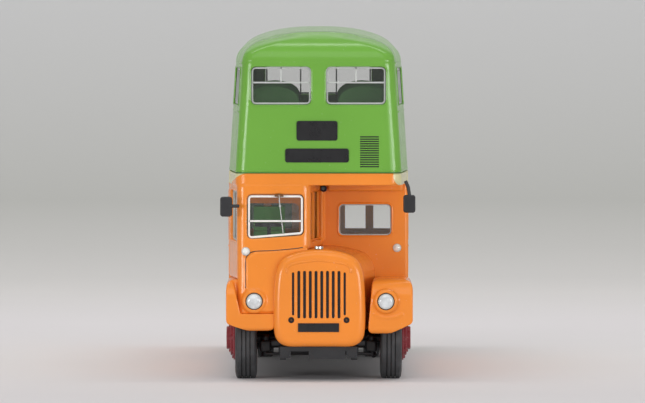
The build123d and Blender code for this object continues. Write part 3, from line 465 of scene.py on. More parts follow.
class Paintwork:
    """All the finishes of the model, made once."""

    cream_low: float = 32.2 * MM
    near_sweep: Point = (14.0 * MM, 33.7 * MM, 1.65 * MM)
    off_sweep: Point = (11.6 * MM, 31.15 * MM, 3.05 * MM)
    blur: float = 0.04 * MM

    def __init__(self) -> None:
        """Build every material."""
        self.green = GlossPaint("green_enamel", Tint.GREEN).build()
        self.orange = GlossPaint("orange_enamel", Tint.ORANGE).build()
        self.two_tone = GlossPaint("orange_and_cream_enamel", Tint.ORANGE, band=self.side_band).build()
        self.canopy = GlossPaint("canopy_enamel", Tint.ORANGE, band=self.canopy_band).build()
        self.seats = Plastic("green_moulding", Tint.SEAT_GREEN).build()
        self.black = Plastic("black_moulding", Tint.BLACK, 0.38).build()
        self.print = Plastic("black_print", Tint.PRINT, 0.3, 0.003 * MM, 0.02 * MM, 0.05).build()
        self.maroon = Plastic("maroon_moulding", Tint.MAROON, 0.3, 0.008 * MM).build()
        self.silver = Metal("silver_trim", Tint.SILVER, 0.2, 0.34).build()
        self.white = Metal("white_trim", Tint.WHITE, 0.0, 0.3).build()
        self.steel = Metal("bright_steel", Tint.SILVER, 1.0, 0.22).build()
        self.bronze = Metal("bronze_print", Tint.BRONZE, 0.5, 0.35).build()
        self.clear = Clear("clear_moulding").build()
        self.rubber = Rubber("tyre_rubber").build()
        self.lens = Lens("lamp_lens", Tint.LENS).build()
        self.white_lens = Lens("white_lens", Tint.WHITE).build()
        self.red_lens = Lens("red_lens", Tint.RED).build()

    def side_band(self, shade: Shader, colour: Socket) -> Socket:
        """Cream between the decks, along the sides and round the back, over a colour."""
        factor = shade.ranged(shade.axis(2), self.cream_low - self.blur, self.cream_low + self.blur)
        return shade.mix(factor, colour, Tint.CREAM.value)

    def canopy_band(self, shade: Shader, colour: Socket) -> Socket:
        """Cream round the canopy's flanks, with a swept edge at the front corners.

        Args:
            shade: The material under construction.
            colour: Colour under the cream.

        Returns:
            The colour with its cream band.
        """
        across, height = shade.axis(0), shade.axis(2)
        offside = shade.maths("MULTIPLY", across, -1.0)
        near_middle, near_height, near_radius = self.near_sweep
        sunk = shade.maths("MAXIMUM", shade.maths("SUBTRACT", near_height, height), 0.0)
        near_edge = shade.maths("SUBTRACT", near_middle, self.arc(shade, sunk, near_radius))
        near = shade.maths("SUBTRACT", across, near_edge)
        off_middle, off_height, off_radius = self.off_sweep
        beyond = shade.maths("MAXIMUM", shade.maths("SUBTRACT", offside, off_middle), 0.0)
        off_edge = shade.maths("ADD", self.arc(shade, beyond, off_radius), off_height)
        off = shade.maths("SUBTRACT", height, off_edge)
        past = shade.maths("MAXIMUM", near, shade.maths("MINIMUM", off, offside))
        above = shade.maths("SUBTRACT", height, self.cream_low)
        factor = shade.ranged(shade.maths("MINIMUM", past, above), -self.blur, self.blur)
        return shade.mix(factor, colour, Tint.CREAM.value)

    def arc(self, shade: Shader, reach: Socket, radius: float) -> Socket:
        """Height of a circle over a reach from its middle."""
        square = shade.maths("SUBTRACT", radius * radius, shade.maths("MULTIPLY", reach, reach))
        return shade.maths("SQRT", shade.maths("MAXIMUM", square, 0.0), 0.0)


# A node that isn't named here is black moulding
NODE_FINISH: dict[str, str] = {
    "upper_deck_shell": "green", "upper_floor": "seats", "upper_seats": "seats", "upper_glazing": "clear",
    "lower_deck_shell": "two_tone", "lower_floor": "seats", "lower_seats": "seats", "lower_glazing": "clear",
    "saloon_partition": "seats", "platform": "seats", "staircase": "seats", "platform_pole": "white",
    "front_canopy": "canopy", "radiator_cowl": "orange", "filler_cap": "steel", "bonnet": "orange",
    "nearside_wing": "orange", "offside_wing": "orange", "cab_shell": "orange", "cab_glazing": "clear",
    "driver_seat": "seats", "headlamp_housings": "orange", "headlamps": "lens", "sidelights": "lens",
    "rear_lamps": "red_lens", "blinds": "print", "plates": "print", "front_hubs": "maroon",
    "front_tyres": "rubber", "rear_axle": "steel", "rear_hubs": "maroon", "rear_tyres": "rubber",
}


def dress_frame(paint: Paintwork) -> None:
    """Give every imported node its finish.

    Args:
        paint: The finishes.
    """
    for name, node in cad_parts.items():
        node.data.materials.clear()
        node.data.materials.append(getattr(paint, NODE_FINISH.get(name, "black")))
    LOG.info("dressed %d nodes", len(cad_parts))


def to_piece(name: str, mesh: Mesh, material: bpy.types.Material, body: str = BODY,
             smooth_angle: float = 40.0) -> bpy.types.Object:
    """Turn a mesh under construction into a piece that rides on a body.

    Args:
        name: Name of the piece.
        mesh: The mesh, freed here.
        material: Its finish.
        body: The body that carries it.
        smooth_angle: Edges sharper than this stay sharp, in degrees.

    Returns:
        The new object.
    """
    bmesh.ops.recalc_face_normals(mesh, faces=mesh.faces)
    data = bpy.data.meshes.new(name)
    mesh.to_mesh(data)
    mesh.free()
    data.polygons.foreach_set("use_smooth", [True] * len(data.polygons))
    data.set_sharp_from_angle(angle=math.radians(smooth_angle))
    data.materials.append(material)
    piece = bpy.data.objects.new(name, data)
    bpy.context.scene.collection.objects.link(piece)
    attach(piece, body)
    LOG.info("%s: %d faces", name, len(data.polygons))
    return piece


def millimetres(path: Path) -> Outline:
    """A path typed in millimetres, in metres."""
    return [(u * MM, v * MM) for u, v in path]


def shifted(path: Path, u: float, v: float = 0.0) -> Outline:
    """A path moved across, and up."""
    return [(x + u, y + v) for x, y in path]


def moved_in(path: Path, inset: float) -> Outline:
    """Move a closed path inwards.

    Args:
        path: The path, anticlockwise.
        inset: How far it moves.

    Returns:
        The moved path, with as many points.
    """
    moved = []
    for index, (u, v) in enumerate(path):
        along = (Vector(path[(index + 1) % len(path)]) - Vector(path[index - 1])).normalized()
        moved.append((u - along.y * inset, v + along.x * inset))
    return moved


def rounded_rectangle(width: float, height: float, radius: float, steps: int = 6) -> Outline:
    """Outline of a rounded rectangle about the origin.

    Args:
        width: Its width.
        height: Its height.
        radius: Radius of its corners.
        steps: Steps round each corner.

    Returns:
        The points, anticlockwise.
    """
    points = []
    corners = ((1, 1, 0), (-1, 1, 90), (-1, -1, 180), (1, -1, 270))
    for sign_u, sign_v, start in corners:
        centre_u = sign_u * (width / 2 - radius)
        centre_v = sign_v * (height / 2 - radius)
        for step in range(steps + 1):
            angle = math.radians(start + 90 * step / steps)
            points.append((centre_u + radius * math.cos(angle), centre_v + radius * math.sin(angle)))
    return points


@dataclass(frozen=True)
class WallPlane:
    """A flat patch of wall: an origin, directions across and up, and the way out."""

    origin: Vector
    across: Vector
    up: Vector

    @classmethod
    def upright(cls, origin: Point, facing: int = 1) -> "WallPlane":
        """Upright patch across the bus, facing forward, or with -1 to the rear."""
        return cls(Vector(origin), Vector((facing, 0, 0)), Vector((0, 0, 1)))

    @property
    def out(self) -> Vector:
        """Direction away from the body."""
        return self.across.cross(self.up).normalized()

    def at(self, u: float, v: float, proud: float) -> Vector:
        """Point in space for a place on the patch."""
        return self.origin + self.across * u + self.up * v + self.out * proud


def stacked(mesh: Mesh, rows: Sequence[Sequence[bmesh.types.BMVert]]) -> None:
    """Join closed rows of points, each to the next.

    Args:
        mesh: The mesh they are in.
        rows: The rows, each with as many points.
    """
    for here, there in zip(rows, rows[1:]):
        for index in range(len(here)):
            nxt = (index + 1) % len(here)
            mesh.faces.new((here[index], here[nxt], there[nxt], there[index]))


def ring(mesh: Mesh, wall: WallPlane, path: Path, width: float, depth: float, proud: float) -> None:
    """Add a closed flat-section band along a path, growing inward from it.

    Args:
        mesh: The mesh to add to.
        wall: The patch it lies on.
        path: Outer edge, anticlockwise.
        width: Width of the band.
        depth: Thickness of the band.
        proud: Height of its outer face above the patch.
    """
    rows = []
    for (u, v), (inner_u, inner_v) in zip(path, moved_in(path, width)):
        corners = (wall.at(u, v, proud), wall.at(inner_u, inner_v, proud),
                   wall.at(inner_u, inner_v, proud - depth), wall.at(u, v, proud - depth))
        rows.append([mesh.verts.new(corner) for corner in corners])
    stacked(mesh, rows + rows[:1])


def round_rim(mesh: Mesh, wall: WallPlane, path: Path, radius: float, sink: float, sides: int = 8) -> None:
    """Add a round-section rim along a closed path.

    Args:
        mesh: The mesh to add to.
        wall: The patch it lies on.
        path: Middle of the rim.
        radius: Radius of its section.
        sink: How deep its middle lies in the patch.
        sides: Points round its section.
    """
    rows = []
    for index, (u, v) in enumerate(path):
        along = (Vector(path[(index + 1) % len(path)]) - Vector(path[index - 1])).normalized()
        inward = Vector((-along.y, along.x))
        row = []
        for side in range(sides):
            angle = math.tau * side / sides
            shift = inward * (radius * math.cos(angle))
            row.append(mesh.verts.new(wall.at(u + shift.x, v + shift.y, radius * math.sin(angle) - sink)))
        rows.append(row)
    stacked(mesh, rows + rows[:1])


def slab(mesh: Mesh, wall: WallPlane, reach: Pair, rise: Pair, depth: float, proud: float) -> None:
    """Add a thin bar on a patch of wall.

    Args:
        mesh: The mesh to add to.
        wall: The patch it lies on.
        reach: Its ends across the patch.
        rise: Its ends up the patch.
        depth: Its thickness.
        proud: Height of its outer face above the patch.
    """
    (left, right), (low, high) = reach, rise
    corners = []
    for height in (proud, proud - depth):
        for u, v in ((left, low), (right, low), (right, high), (left, high)):
            corners.append(mesh.verts.new(wall.at(u, v, height)))
    for quad in ((0, 1, 2, 3), (7, 6, 5, 4), (0, 4, 5, 1), (1, 5, 6, 2), (2, 6, 7, 3), (3, 7, 4, 0)):
        mesh.faces.new([corners[index] for index in quad])


def turned(mesh: Mesh, centre: Point | Vector, axis: Point | Vector, profile: Path, steps: int = 48,
           bored: bool = False) -> None:
    """Add a closed turned form.

    Args:
        mesh: The mesh to add to.
        centre: Where the profile's zero lies.
        axis: Direction of the axis.
        profile: Pairs of place along the axis and radius, end to end. Ends at radius 0 close it.
        steps: Points round the circle.
        bored: Whether the profile runs back to its start, for a form with a bore.
    """
    centre = Vector(centre)
    axis = Vector(axis).normalized()
    side = axis.orthogonal().normalized()
    other = axis.cross(side)
    rows = []
    for along, radius in profile:
        if radius == 0:
            rows.append([mesh.verts.new(centre + axis * along)])
            continue
        row = []
        for step in range(steps):
            angle = math.tau * step / steps
            outward = side * math.cos(angle) + other * math.sin(angle)
            row.append(mesh.verts.new(centre + axis * along + outward * radius))
        rows.append(row)
    if bored:
        rows.append(rows[0])
    for here, there in zip(rows, rows[1:]):
        for step in range(steps):
            nxt = (step + 1) % steps
            if len(here) == 1 and len(there) > 1:
                mesh.faces.new((here[0], there[step], there[nxt]))
            elif len(there) == 1 and len(here) > 1:
                mesh.faces.new((here[step], here[nxt], there[0]))
            elif len(here) > 1:
                mesh.faces.new((here[step], here[nxt], there[nxt], there[step]))


def add_mesh(into: Mesh, piece: Mesh) -> None:
    """Add one mesh under construction to another, and free it.

    Args:
        into: The mesh to add to.
        piece: The mesh that is added.
    """
    data = bpy.data.meshes.new("added")
    piece.to_mesh(data)
    piece.free()
    into.from_mesh(data)
    bpy.data.meshes.remove(data)


def copy_node(name: str, into: Mesh, side: Side | None = None) -> None:
    """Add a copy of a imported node's mesh to a mesh under construction.

    Args:
        name: The node.
        into: The mesh to add to.
        side: Only the part on this side, or all of it.
    """
    copy = bmesh.new()
    copy.from_mesh(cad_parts[name].data)
    bmesh.ops.remove_doubles(copy, verts=copy.verts, dist=0.001 * MM)
    if side:
        away = [vert for vert in copy.verts if vert.co.x * side.value < 0]
        bmesh.ops.delete(copy, geom=away, context="VERTS")
    add_mesh(into, copy)


def cast(name: str, mesh: Mesh, material: bpy.types.Material, nodes: Sequence[str],
         voxel: float = 0.15 * MM, passes: int = 7, keep_share: float = 0.35) -> bpy.types.Object:
    """Fuse overlapping forms to one casting with soft edges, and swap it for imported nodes.

    Args:
        name: Name of the casting.
        mesh: Closed forms that touch or overlap, freed here.
        material: Its finish.
        nodes: The nodes it takes the place of.
        voxel: Grain of the fused skin, in metres.
        passes: How often the skin is relaxed, which sets the softness of the edges.
        keep_share: Share of the skin's triangles that is kept.

    Returns:
        The casting.
    """
    data = bpy.data.meshes.new(name)
    mesh.to_mesh(data)
    mesh.free()
    raw = bpy.data.objects.new(name + "_raw", data)
    bpy.context.scene.collection.objects.link(raw)
    skin = raw.modifiers.new("skin", "REMESH")
    skin.mode = "VOXEL"
    skin.voxel_size = voxel
    relax = raw.modifiers.new("relax", "SMOOTH")
    relax.factor = 0.5
    relax.iterations = passes
    thin = raw.modifiers.new("thin", "DECIMATE")
    thin.ratio = keep_share
    evaluated = raw.evaluated_get(bpy.context.evaluated_depsgraph_get())
    result = bmesh.new()
    result.from_mesh(evaluated.to_mesh())
    evaluated.to_mesh_clear()
    bpy.data.objects.remove(raw)
    bpy.data.meshes.remove(data)
    piece = to_piece(name, result, material, smooth_angle=180.0)
    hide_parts(*nodes)
    return piece


def tube(mesh: Mesh, path: Sequence[Point | Vector], radius: float, sides: int = 10,
         closed: bool = False) -> None:
    """Add a round rod along a path.

    Args:
        mesh: The mesh to add to.
        path: Points of the path.
        radius: Radius of the rod.
        sides: Points round the rod.
        closed: Whether the path runs back to its start.
    """
    points = [Vector(point) for point in path]
    count = len(points)
    rows = []
    normal = None
    for index, point in enumerate(points):
        before = points[index - 1] if index or closed else point
        after = points[(index + 1) % count] if index < count - 1 or closed else point
        along = (after - before).normalized()
        normal = along.orthogonal() if normal is None else normal - along * normal.dot(along)
        normal.normalize()
        other = along.cross(normal)
        row = []
        for step in range(sides):
            angle = math.tau * step / sides
            row.append(mesh.verts.new(point + (normal * math.cos(angle) + other * math.sin(angle)) * radius))
        rows.append(row)
    if closed:
        stacked(mesh, rows + rows[:1])
    else:
        stacked(mesh, rows)
        mesh.faces.new(rows[0])
        mesh.faces.new(rows[-1])


def prism(mesh: Mesh, wall: WallPlane, path: Path, low: float, high: float) -> None:
    """Add a closed prism over an outline on a patch, between two heights above it.

    Args:
        mesh: The mesh to add to.
        wall: The patch it lies on.
        path: The outline.
        low: Height of its lower face.
        high: Height of its upper face.
    """
    rows = [[mesh.verts.new(wall.at(u, v, proud)) for u, v in path] for proud in (low, high)]
    stacked(mesh, rows)
    mesh.faces.new(rows[0])
    mesh.faces.new(rows[1])


def filleted(corners: Sequence[Vector], radii: Sequence[float], steps: int) -> Outline:
    """Points of a polygon with rounded corners.

    Args:
        corners: Corners of the polygon, in order.
        radii: Radius at each corner.
        steps: Steps round each corner.

    Returns:
        The points, with the same number for any sizes.
    """
    path = []
    for index, (corner, radius) in enumerate(zip(corners, radii)):
        before = (corners[index - 1] - corner).normalized()
        after = (corners[(index + 1) % len(corners)] - corner).normalized()
        half_angle = before.angle(after) / 2
        centre = corner + (before + after).normalized() * radius / math.sin(half_angle)
        start = corner + before * radius / math.tan(half_angle) - centre
        end = corner + after * radius / math.tan(half_angle) - centre
        first = math.atan2(start.y, start.x)
        turn = (math.atan2(end.y, end.x) - first + math.pi) % math.tau - math.pi
        for step in range(steps + 1):
            angle = first + turn * step / steps
            path.append((centre.x + radius * math.cos(angle), centre.y + radius * math.sin(angle)))
    return path


def flowing(points: Path, steps: int) -> Outline:
    """Points of a smooth curve through given points.

    Args:
        points: Points on the curve, from one end to the other.
        steps: Steps between two of them.

    Returns:
        The curve's points, both ends included.
    """
    ends = [points[0], *points, points[-1]]
    curve = []
    for index in range(1, len(ends) - 2):
        group = [Vector(point) for point in ends[index - 1:index + 3]]
        for step in range(steps):
            share = step / steps
            one = group[1] * 2 + (group[2] - group[0]) * share
            two = (group[0] * 2 - group[1] * 5 + group[2] * 4 - group[3]) * share ** 2
            three = (group[1] * 3 - group[0] - group[2] * 3 + group[3]) * share ** 3
            spot = (one + two + three) / 2
            curve.append((spot.x, spot.y))
    return curve + [tuple(points[-1])]


def soft_box(mesh: Mesh, low: Point, high: Point, radius: float, segments: int = 3) -> None:
    """Add a block with rounded edges.

    Args:
        mesh: The mesh to add to.
        low: Its lowest corner.
        high: Its highest corner.
        radius: Radius of its edges.
        segments: Steps round each edge.
    """
    block = bmesh.new()
    bmesh.ops.create_cube(block, size=1.0)
    low, high = Vector(low), Vector(high)
    bmesh.ops.scale(block, vec=high - low, verts=block.verts)
    bmesh.ops.translate(block, vec=(high + low) / 2, verts=block.verts)
    edges = list(block.edges)
    bmesh.ops.bevel(block, geom=edges, offset=radius, segments=segments, profile=0.5, affect="EDGES")
    add_mesh(mesh, block)


@dataclass
class BodySizes:
    """The sizes of the body that the trim follows, in metres."""

    length: float = 108.3 * MM
    front_overhang: float = 10.5 * MM
    wheelbase: float = 65.5 * MM
    bulkhead_setback: float = 6.5 * MM
    wall: float = 0.9 * MM
    joint_z: float = 34.399 * MM
    cantrail_z: float = 52.301 * MM
    upper_base_half: float = 14.87 * MM
    cantrail_half: float = 13.75 * MM
    upper_front_reach: float = 8.0 * MM
    upper_front_lean: float = 0.5 * MM
    upper_tail_inset: float = 0.5 * MM
    upper_tail_lean: float = 0.9 * MM
    front_taper: float = 1.3 * MM
    front_taper_run: float = 15.0 * MM
    front_corner: float = 2.0 * MM
    tail_corner: float = 3.0 * MM
    lower_top_half: float = 14.9 * MM
    waist_half: float = 15.0 * MM
    waist_z: float = 18.0 * MM
    lower_tail_inset: float = 0.3 * MM
    skirt_tuck: float = 0.2 * MM
    skirt_z: float = 5.6 * MM
    tyre_radius: float = 6.7 * MM
    height: float = 57.6 * MM
    roof_power: float = 2.3
    roof_top_share: float = 0.997
    dome_reach: float = 9.0 * MM
    roof_corner_share: float = 0.85
    knuckle_radius: float = 12.0 * MM
    bay_count: int = 5
    bay_start: float = 1.2 * MM
    bay_pitch: float = 13.695 * MM
    bay_pillar: float = 1.5 * MM
    quarter_gap: float = 1.5 * MM
    quarter_length: float = 10.2 * MM
    tail_quarter_length: float = 10.956 * MM
    upper_pane: Pair = (45.3 * MM, 51.6 * MM)
    lower_pane: Pair = (22.7 * MM, 31.0 * MM)

    @property
    def face_y(self) -> float:
        """Y of the front of the model."""
        return -self.length / 2

    @property
    def front_axle_y(self) -> float:
        """Y of the front axle."""
        return self.face_y + self.front_overhang

    @property
    def rear_axle_y(self) -> float:
        """Y of the rear axle."""
        return self.front_axle_y + self.wheelbase

    @property
    def bulkhead_y(self) -> float:
        """Y of the bulkhead."""
        return self.front_axle_y + self.bulkhead_setback

    def axle_y(self, axle: Axle) -> float:
        """Y of an axle."""
        return self.front_axle_y if axle is Axle.FRONT else self.rear_axle_y

    def ahead(self, distance: float) -> float:
        """Y of a plane this far in front of the front axle."""
        return self.front_axle_y - distance

    def upper_share(self, z: float) -> float:
        """Share of the way up the upper wall."""
        return (z - self.joint_z) / (self.cantrail_z - self.joint_z)

    def upper_half(self, z: float) -> float:
        """Half width of the upper deck at a height."""
        return self.upper_base_half + (self.cantrail_half - self.upper_base_half) * self.upper_share(z)

    def upper_front(self, z: float) -> float:
        """Y of the upper deck's front at a height."""
        return self.ahead(self.upper_front_reach - self.upper_front_lean * self.upper_share(z))

    def upper_tail(self, z: float) -> float:
        """Y of the upper deck's rear at a height."""
        return self.length / 2 - self.upper_tail_inset - self.upper_tail_lean * self.upper_share(z)

    def bay(self, index: int) -> Pair:
        """Y ends of one full window bay."""
        start = self.bulkhead_y + self.bay_start + self.bay_pitch * index
        return start, start + self.bay_pitch - self.bay_pillar

    def lower_bays(self) -> list[Pair]:
        """Y ends of every side window of the lower deck."""
        return [self.bay(index) for index in range(self.bay_count)]

    def upper_bays(self) -> list[Pair]:
        """Y ends of every side window of the upper deck.

        Returns:
            The ends, with the quarter lights first and last.
        """
        bays = self.lower_bays()
        first = bays[0][0] - self.quarter_gap
        last = bays[-1][1] + self.quarter_gap
        return [(first - self.quarter_length, first)] + bays + [(last, last + self.tail_quarter_length)]

    def upper_taper(self, y: float) -> float:
        """How far the upper flank is drawn in at one place along the body."""
        knuckle = self.ahead(self.upper_front_reach) + self.front_taper_run
        return max(0.0, (knuckle - y) / self.front_taper_run) * self.front_taper

    def lower_half(self, z: float) -> float:
        """Half width of the lower deck at a height.

        Args:
            z: The height.

        Returns:
            The half width.
        """
        if z < self.waist_z:
            return self.waist_half - self.skirt_tuck * (self.waist_z - z) / (self.waist_z - self.skirt_z)
        share = (z - self.waist_z) / (self.joint_z - self.waist_z)
        return self.waist_half + (self.lower_top_half - self.waist_half) * share

    @property
    def lower_tail(self) -> float:
        """Y of the lower deck's rear."""
        return self.length / 2 - self.lower_tail_inset

    def lean(self, edge: Callable[[float], float]) -> float:
        """How far an edge of the upper deck moves for each metre of height."""
        return (edge(self.cantrail_z) - edge(self.joint_z)) / (self.cantrail_z - self.joint_z)

    def upper_flank(self, side: Side, y0: float, y1: float, z: float) -> WallPlane:
        """Patch of the upper flank between two places.

        Args:
            side: Side of the bus.
            y0: Front end of the patch.
            y1: Rear end of the patch.
            z: Height of its zero.

        Returns:
            The patch, with its zero at its middle.
        """
        ends = [Vector((side.value * (self.upper_half(z) - self.upper_taper(y)), y, z)) for y in (y0, y1)]
        along = (ends[1] - ends[0]).normalized() * side.value
        up = Vector((side.value * self.lean(self.upper_half), 0, 1)).normalized()
        return WallPlane((ends[0] + ends[1]) / 2, along, up)

    def lower_flank(self, side: Side, y0: float, y1: float, z: float) -> WallPlane:
        """Patch of the lower flank between two places, with its zero at their middle."""
        origin = Vector((side.value * self.lower_half(z), (y0 + y1) / 2, z))
        return WallPlane(origin, Vector((0, side.value, 0)), Vector((0, 0, 1)))

    def upper_face(self, z: float) -> WallPlane:
        """Patch of the upper deck's front with its zero at this height."""
        up = Vector((0, self.lean(self.upper_front), 1)).normalized()
        return WallPlane(Vector((0, self.upper_front(z), z)), Vector((1, 0, 0)), up)

    def upper_back(self, z: float) -> WallPlane:
        """Patch of the upper deck's rear with its zero at this height."""
        up = Vector((0, self.lean(self.upper_tail), 1)).normalized()
        return WallPlane(Vector((0, self.upper_tail(z), z)), Vector((-1, 0, 0)), up)

    def upper_plan(self, half: float, ends: Pair, taper: float, radii: Pair, steps: int) -> Outline:
        """Outline of the upper deck seen from above, with a knuckle behind each drawn-in front corner.

        Args:
            half: Half width behind the knuckles.
            ends: Y of the front and of the rear.
            taper: How far each front corner is drawn in.
            radii: Radius of the front corners and of the rear ones.
            steps: Steps round each corner.

        Returns:
            The points, in order.
        """
        front, tail = ends
        knuckle = front + self.front_taper_run
        corners = ((-half + taper, front), (half - taper, front), (half, knuckle), (half, tail),
                   (-half, tail), (-half, knuckle))
        corner_radii = (radii[0], radii[0], self.knuckle_radius, radii[1], radii[1], self.knuckle_radius)
        return filleted([Vector(corner) for corner in corners], corner_radii, steps)


@dataclass
class SubAssembly:
    """A set of pieces that follow the body's sizes and share its paintwork."""

    body: BodySizes
    paint: Paintwork


@dataclass
class WindowSet(SubAssembly):
    """Printed frames and bars that stand on the glass, with the soft lip of each opening."""

    frame_width: float = 0.27 * MM
    frame_depth: float = 0.45 * MM
    sink: float = 0.48 * MM
    side_sink: float = 0.2 * MM
    frame_inset: float = 0.2 * MM
    bar_width: float = 0.26 * MM
    bar_share: float = 0.42
    lip_radius: float = 0.13 * MM
    lip_sink: float = 0.05 * MM
    front_inner: float = 1.1 * MM
    front_outer: float = 11.25 * MM
    front_z: Pair = (45.4 * MM, 51.9 * MM)
    front_radius: float = 0.9 * MM
    side_radius: float = 0.8 * MM
    emergency_half: float = 9.6 * MM
    rear_lower: Pair = (-12.0 * MM, 0.6 * MM)

    def build(self) -> None:
        """Build the frames of both decks."""
        self.upper_front()
        for deck in Deck:
            self.sides(deck)
        self.rear()

    def pane(self, frames: Mesh, lips: Mesh, wall: WallPlane, u: float, width: float, height: float,
             radius: float, sink: float, bar: bool = True) -> None:
        """Add the frame, bars and lip of one window, centred at a place on a patch.

        Args:
            frames: Mesh of the frames.
            lips: Mesh of the lips.
            wall: Patch with its zero at the window's middle height.
            u: Place of the window's middle along the patch.
            width: Width of the opening.
            height: Height of the opening.
            radius: Corner radius of the opening.
            sink: How deep the frame lies in the opening.
            bar: Whether a bar crosses it, with a short upright on the bar.
        """
        outline = shifted(rounded_rectangle(width, height, radius), u)
        ring(frames, wall, moved_in(outline, self.frame_inset), self.frame_width, self.frame_depth, -sink)
        round_rim(lips, wall, outline, self.lip_radius, self.lip_sink)
        if bar:
            high = height / 2
            level = high - height * self.bar_share
            half = width / 2 - self.frame_inset - self.frame_width / 2
            slab(frames, wall, (u - half, u + half), self.about(level), self.frame_depth, -sink)
            slab(frames, wall, self.about(u), (level, high - self.frame_width / 2), self.frame_depth, -sink)

    def about(self, middle: float) -> Pair:
        """Both edges of a bar about its middle."""
        return middle - self.bar_width / 2, middle + self.bar_width / 2

    def upper_front(self) -> None:
        """Frames of the two front windows."""
        frames, lips = bmesh.new(), bmesh.new()
        low, high = self.front_z
        wall = self.body.upper_face((low + high) / 2)
        width = self.front_outer - self.front_inner
        for side in Side:
            middle = side.value * (self.front_inner + self.front_outer) / 2
            self.pane(frames, lips, wall, middle, width, high - low, self.front_radius, self.sink)
        to_piece("upper_front_frames", frames, self.paint.silver)
        to_piece("upper_front_lips", lips, self.paint.green)

    def sides(self, deck: Deck) -> None:
        """Frames of all side windows of one deck.

        Args:
            deck: The deck.
        """
        upper = deck is Deck.UPPER
        bays = self.body.upper_bays() if upper else self.body.lower_bays()
        flank = self.body.upper_flank if upper else self.body.lower_flank
        low, high = self.body.upper_pane if upper else self.body.lower_pane
        first_bar = 1 if upper else 0
        lip_paint = self.paint.green if upper else self.paint.orange
        for side in Side:
            frames, lips = bmesh.new(), bmesh.new()
            for index, (start, end) in enumerate(bays):
                wall = flank(side, start, end, (low + high) / 2)
                self.pane(frames, lips, wall, 0.0, end - start, high - low, self.side_radius, self.side_sink,
                          index % 2 == first_bar)
            name = side.name.lower()
            to_piece(f"{deck.value}_{name}_frames", frames, self.paint.silver)
            to_piece(f"{deck.value}_{name}_lips", lips, lip_paint)

    def rear(self) -> None:
        """Frames of the emergency window and of the lower rear window."""
        frames, green_lips, orange_lips = bmesh.new(), bmesh.new(), bmesh.new()
        low, high = self.body.upper_pane
        wall = self.body.upper_back((low + high) / 2)
        self.pane(frames, green_lips, wall, 0.0, self.emergency_half * 2, high - low, self.front_radius,
                  self.sink, False)
        half_height = (high - low) / 2
        for place in (-1, 0, 1):
            slab(frames, wall, self.about(place * self.emergency_half / 3), (-half_height, half_height),
                 self.frame_depth, -self.sink)
        low, high = self.body.lower_pane
        left, right = self.rear_lower
        wall = WallPlane.upright((0, self.body.lower_tail, (low + high) / 2), -1)
        self.pane(frames, orange_lips, wall, -(left + right) / 2, right - left, high - low, self.front_radius,
                  self.sink, False)
        to_piece("rear_frames", frames, self.paint.silver)
        to_piece("rear_upper_lip", green_lips, self.paint.green)
        to_piece("rear_lower_lip", orange_lips, self.paint.orange)


@dataclass
class RoofSkin(SubAssembly):
    """Smooth domed skin over the roof."""

    levels: int = 26
    proud: float = 0.02 * MM
    tuck: float = 0.05 * MM
    thickness: float = 0.3 * MM
    corner_steps: int = 10
    smooth_angle: float = 30.0

    def build(self) -> None:
        """Build the skin."""
        mesh = bmesh.new()
        outer = [self.level(mesh, index / self.levels, -self.proud if index else self.tuck)
                 for index in range(self.levels)]
        inner = [self.level(mesh, index / self.levels, self.thickness) for index in range(self.levels)]
        stacked(mesh, outer + inner[::-1] + [outer[0]])
        to_piece("roof_skin", mesh, self.paint.green, smooth_angle=self.smooth_angle)

    def level(self, mesh: Mesh, place: float, inset: float) -> list[bmesh.types.BMVert]:
        """Points round the roof at one place between the cantrail and the crown.

        Args:
            mesh: The mesh to add to.
            place: 0 at the cantrail and 1 at the crown.
            inset: How far the level is moved in.

        Returns:
            The new points, in order.
        """
        body = self.body
        share = math.sin(math.pi / 2 * place) * body.roof_top_share
        reach = (1 - share ** body.roof_power) ** (1 / body.roof_power)
        half = body.cantrail_half * reach
        drawn_in = body.dome_reach * (1 - reach)
        front = body.upper_front(body.cantrail_z) + drawn_in + inset
        tail = body.upper_tail(body.cantrail_z) - drawn_in - inset
        side_move = body.cantrail_half - half
        widest = body.roof_corner_share * half
        radii = tuple(min(radius + side_move, widest) for radius in (body.front_corner, body.tail_corner))
        plan = body.upper_plan(half - inset, (front, tail), body.front_taper * reach, radii,
                               self.corner_steps)
        z = body.cantrail_z + (body.height - body.cantrail_z) * share / body.roof_top_share - inset
        return [mesh.verts.new((x, y, min(z, body.height))) for x, y in plan]


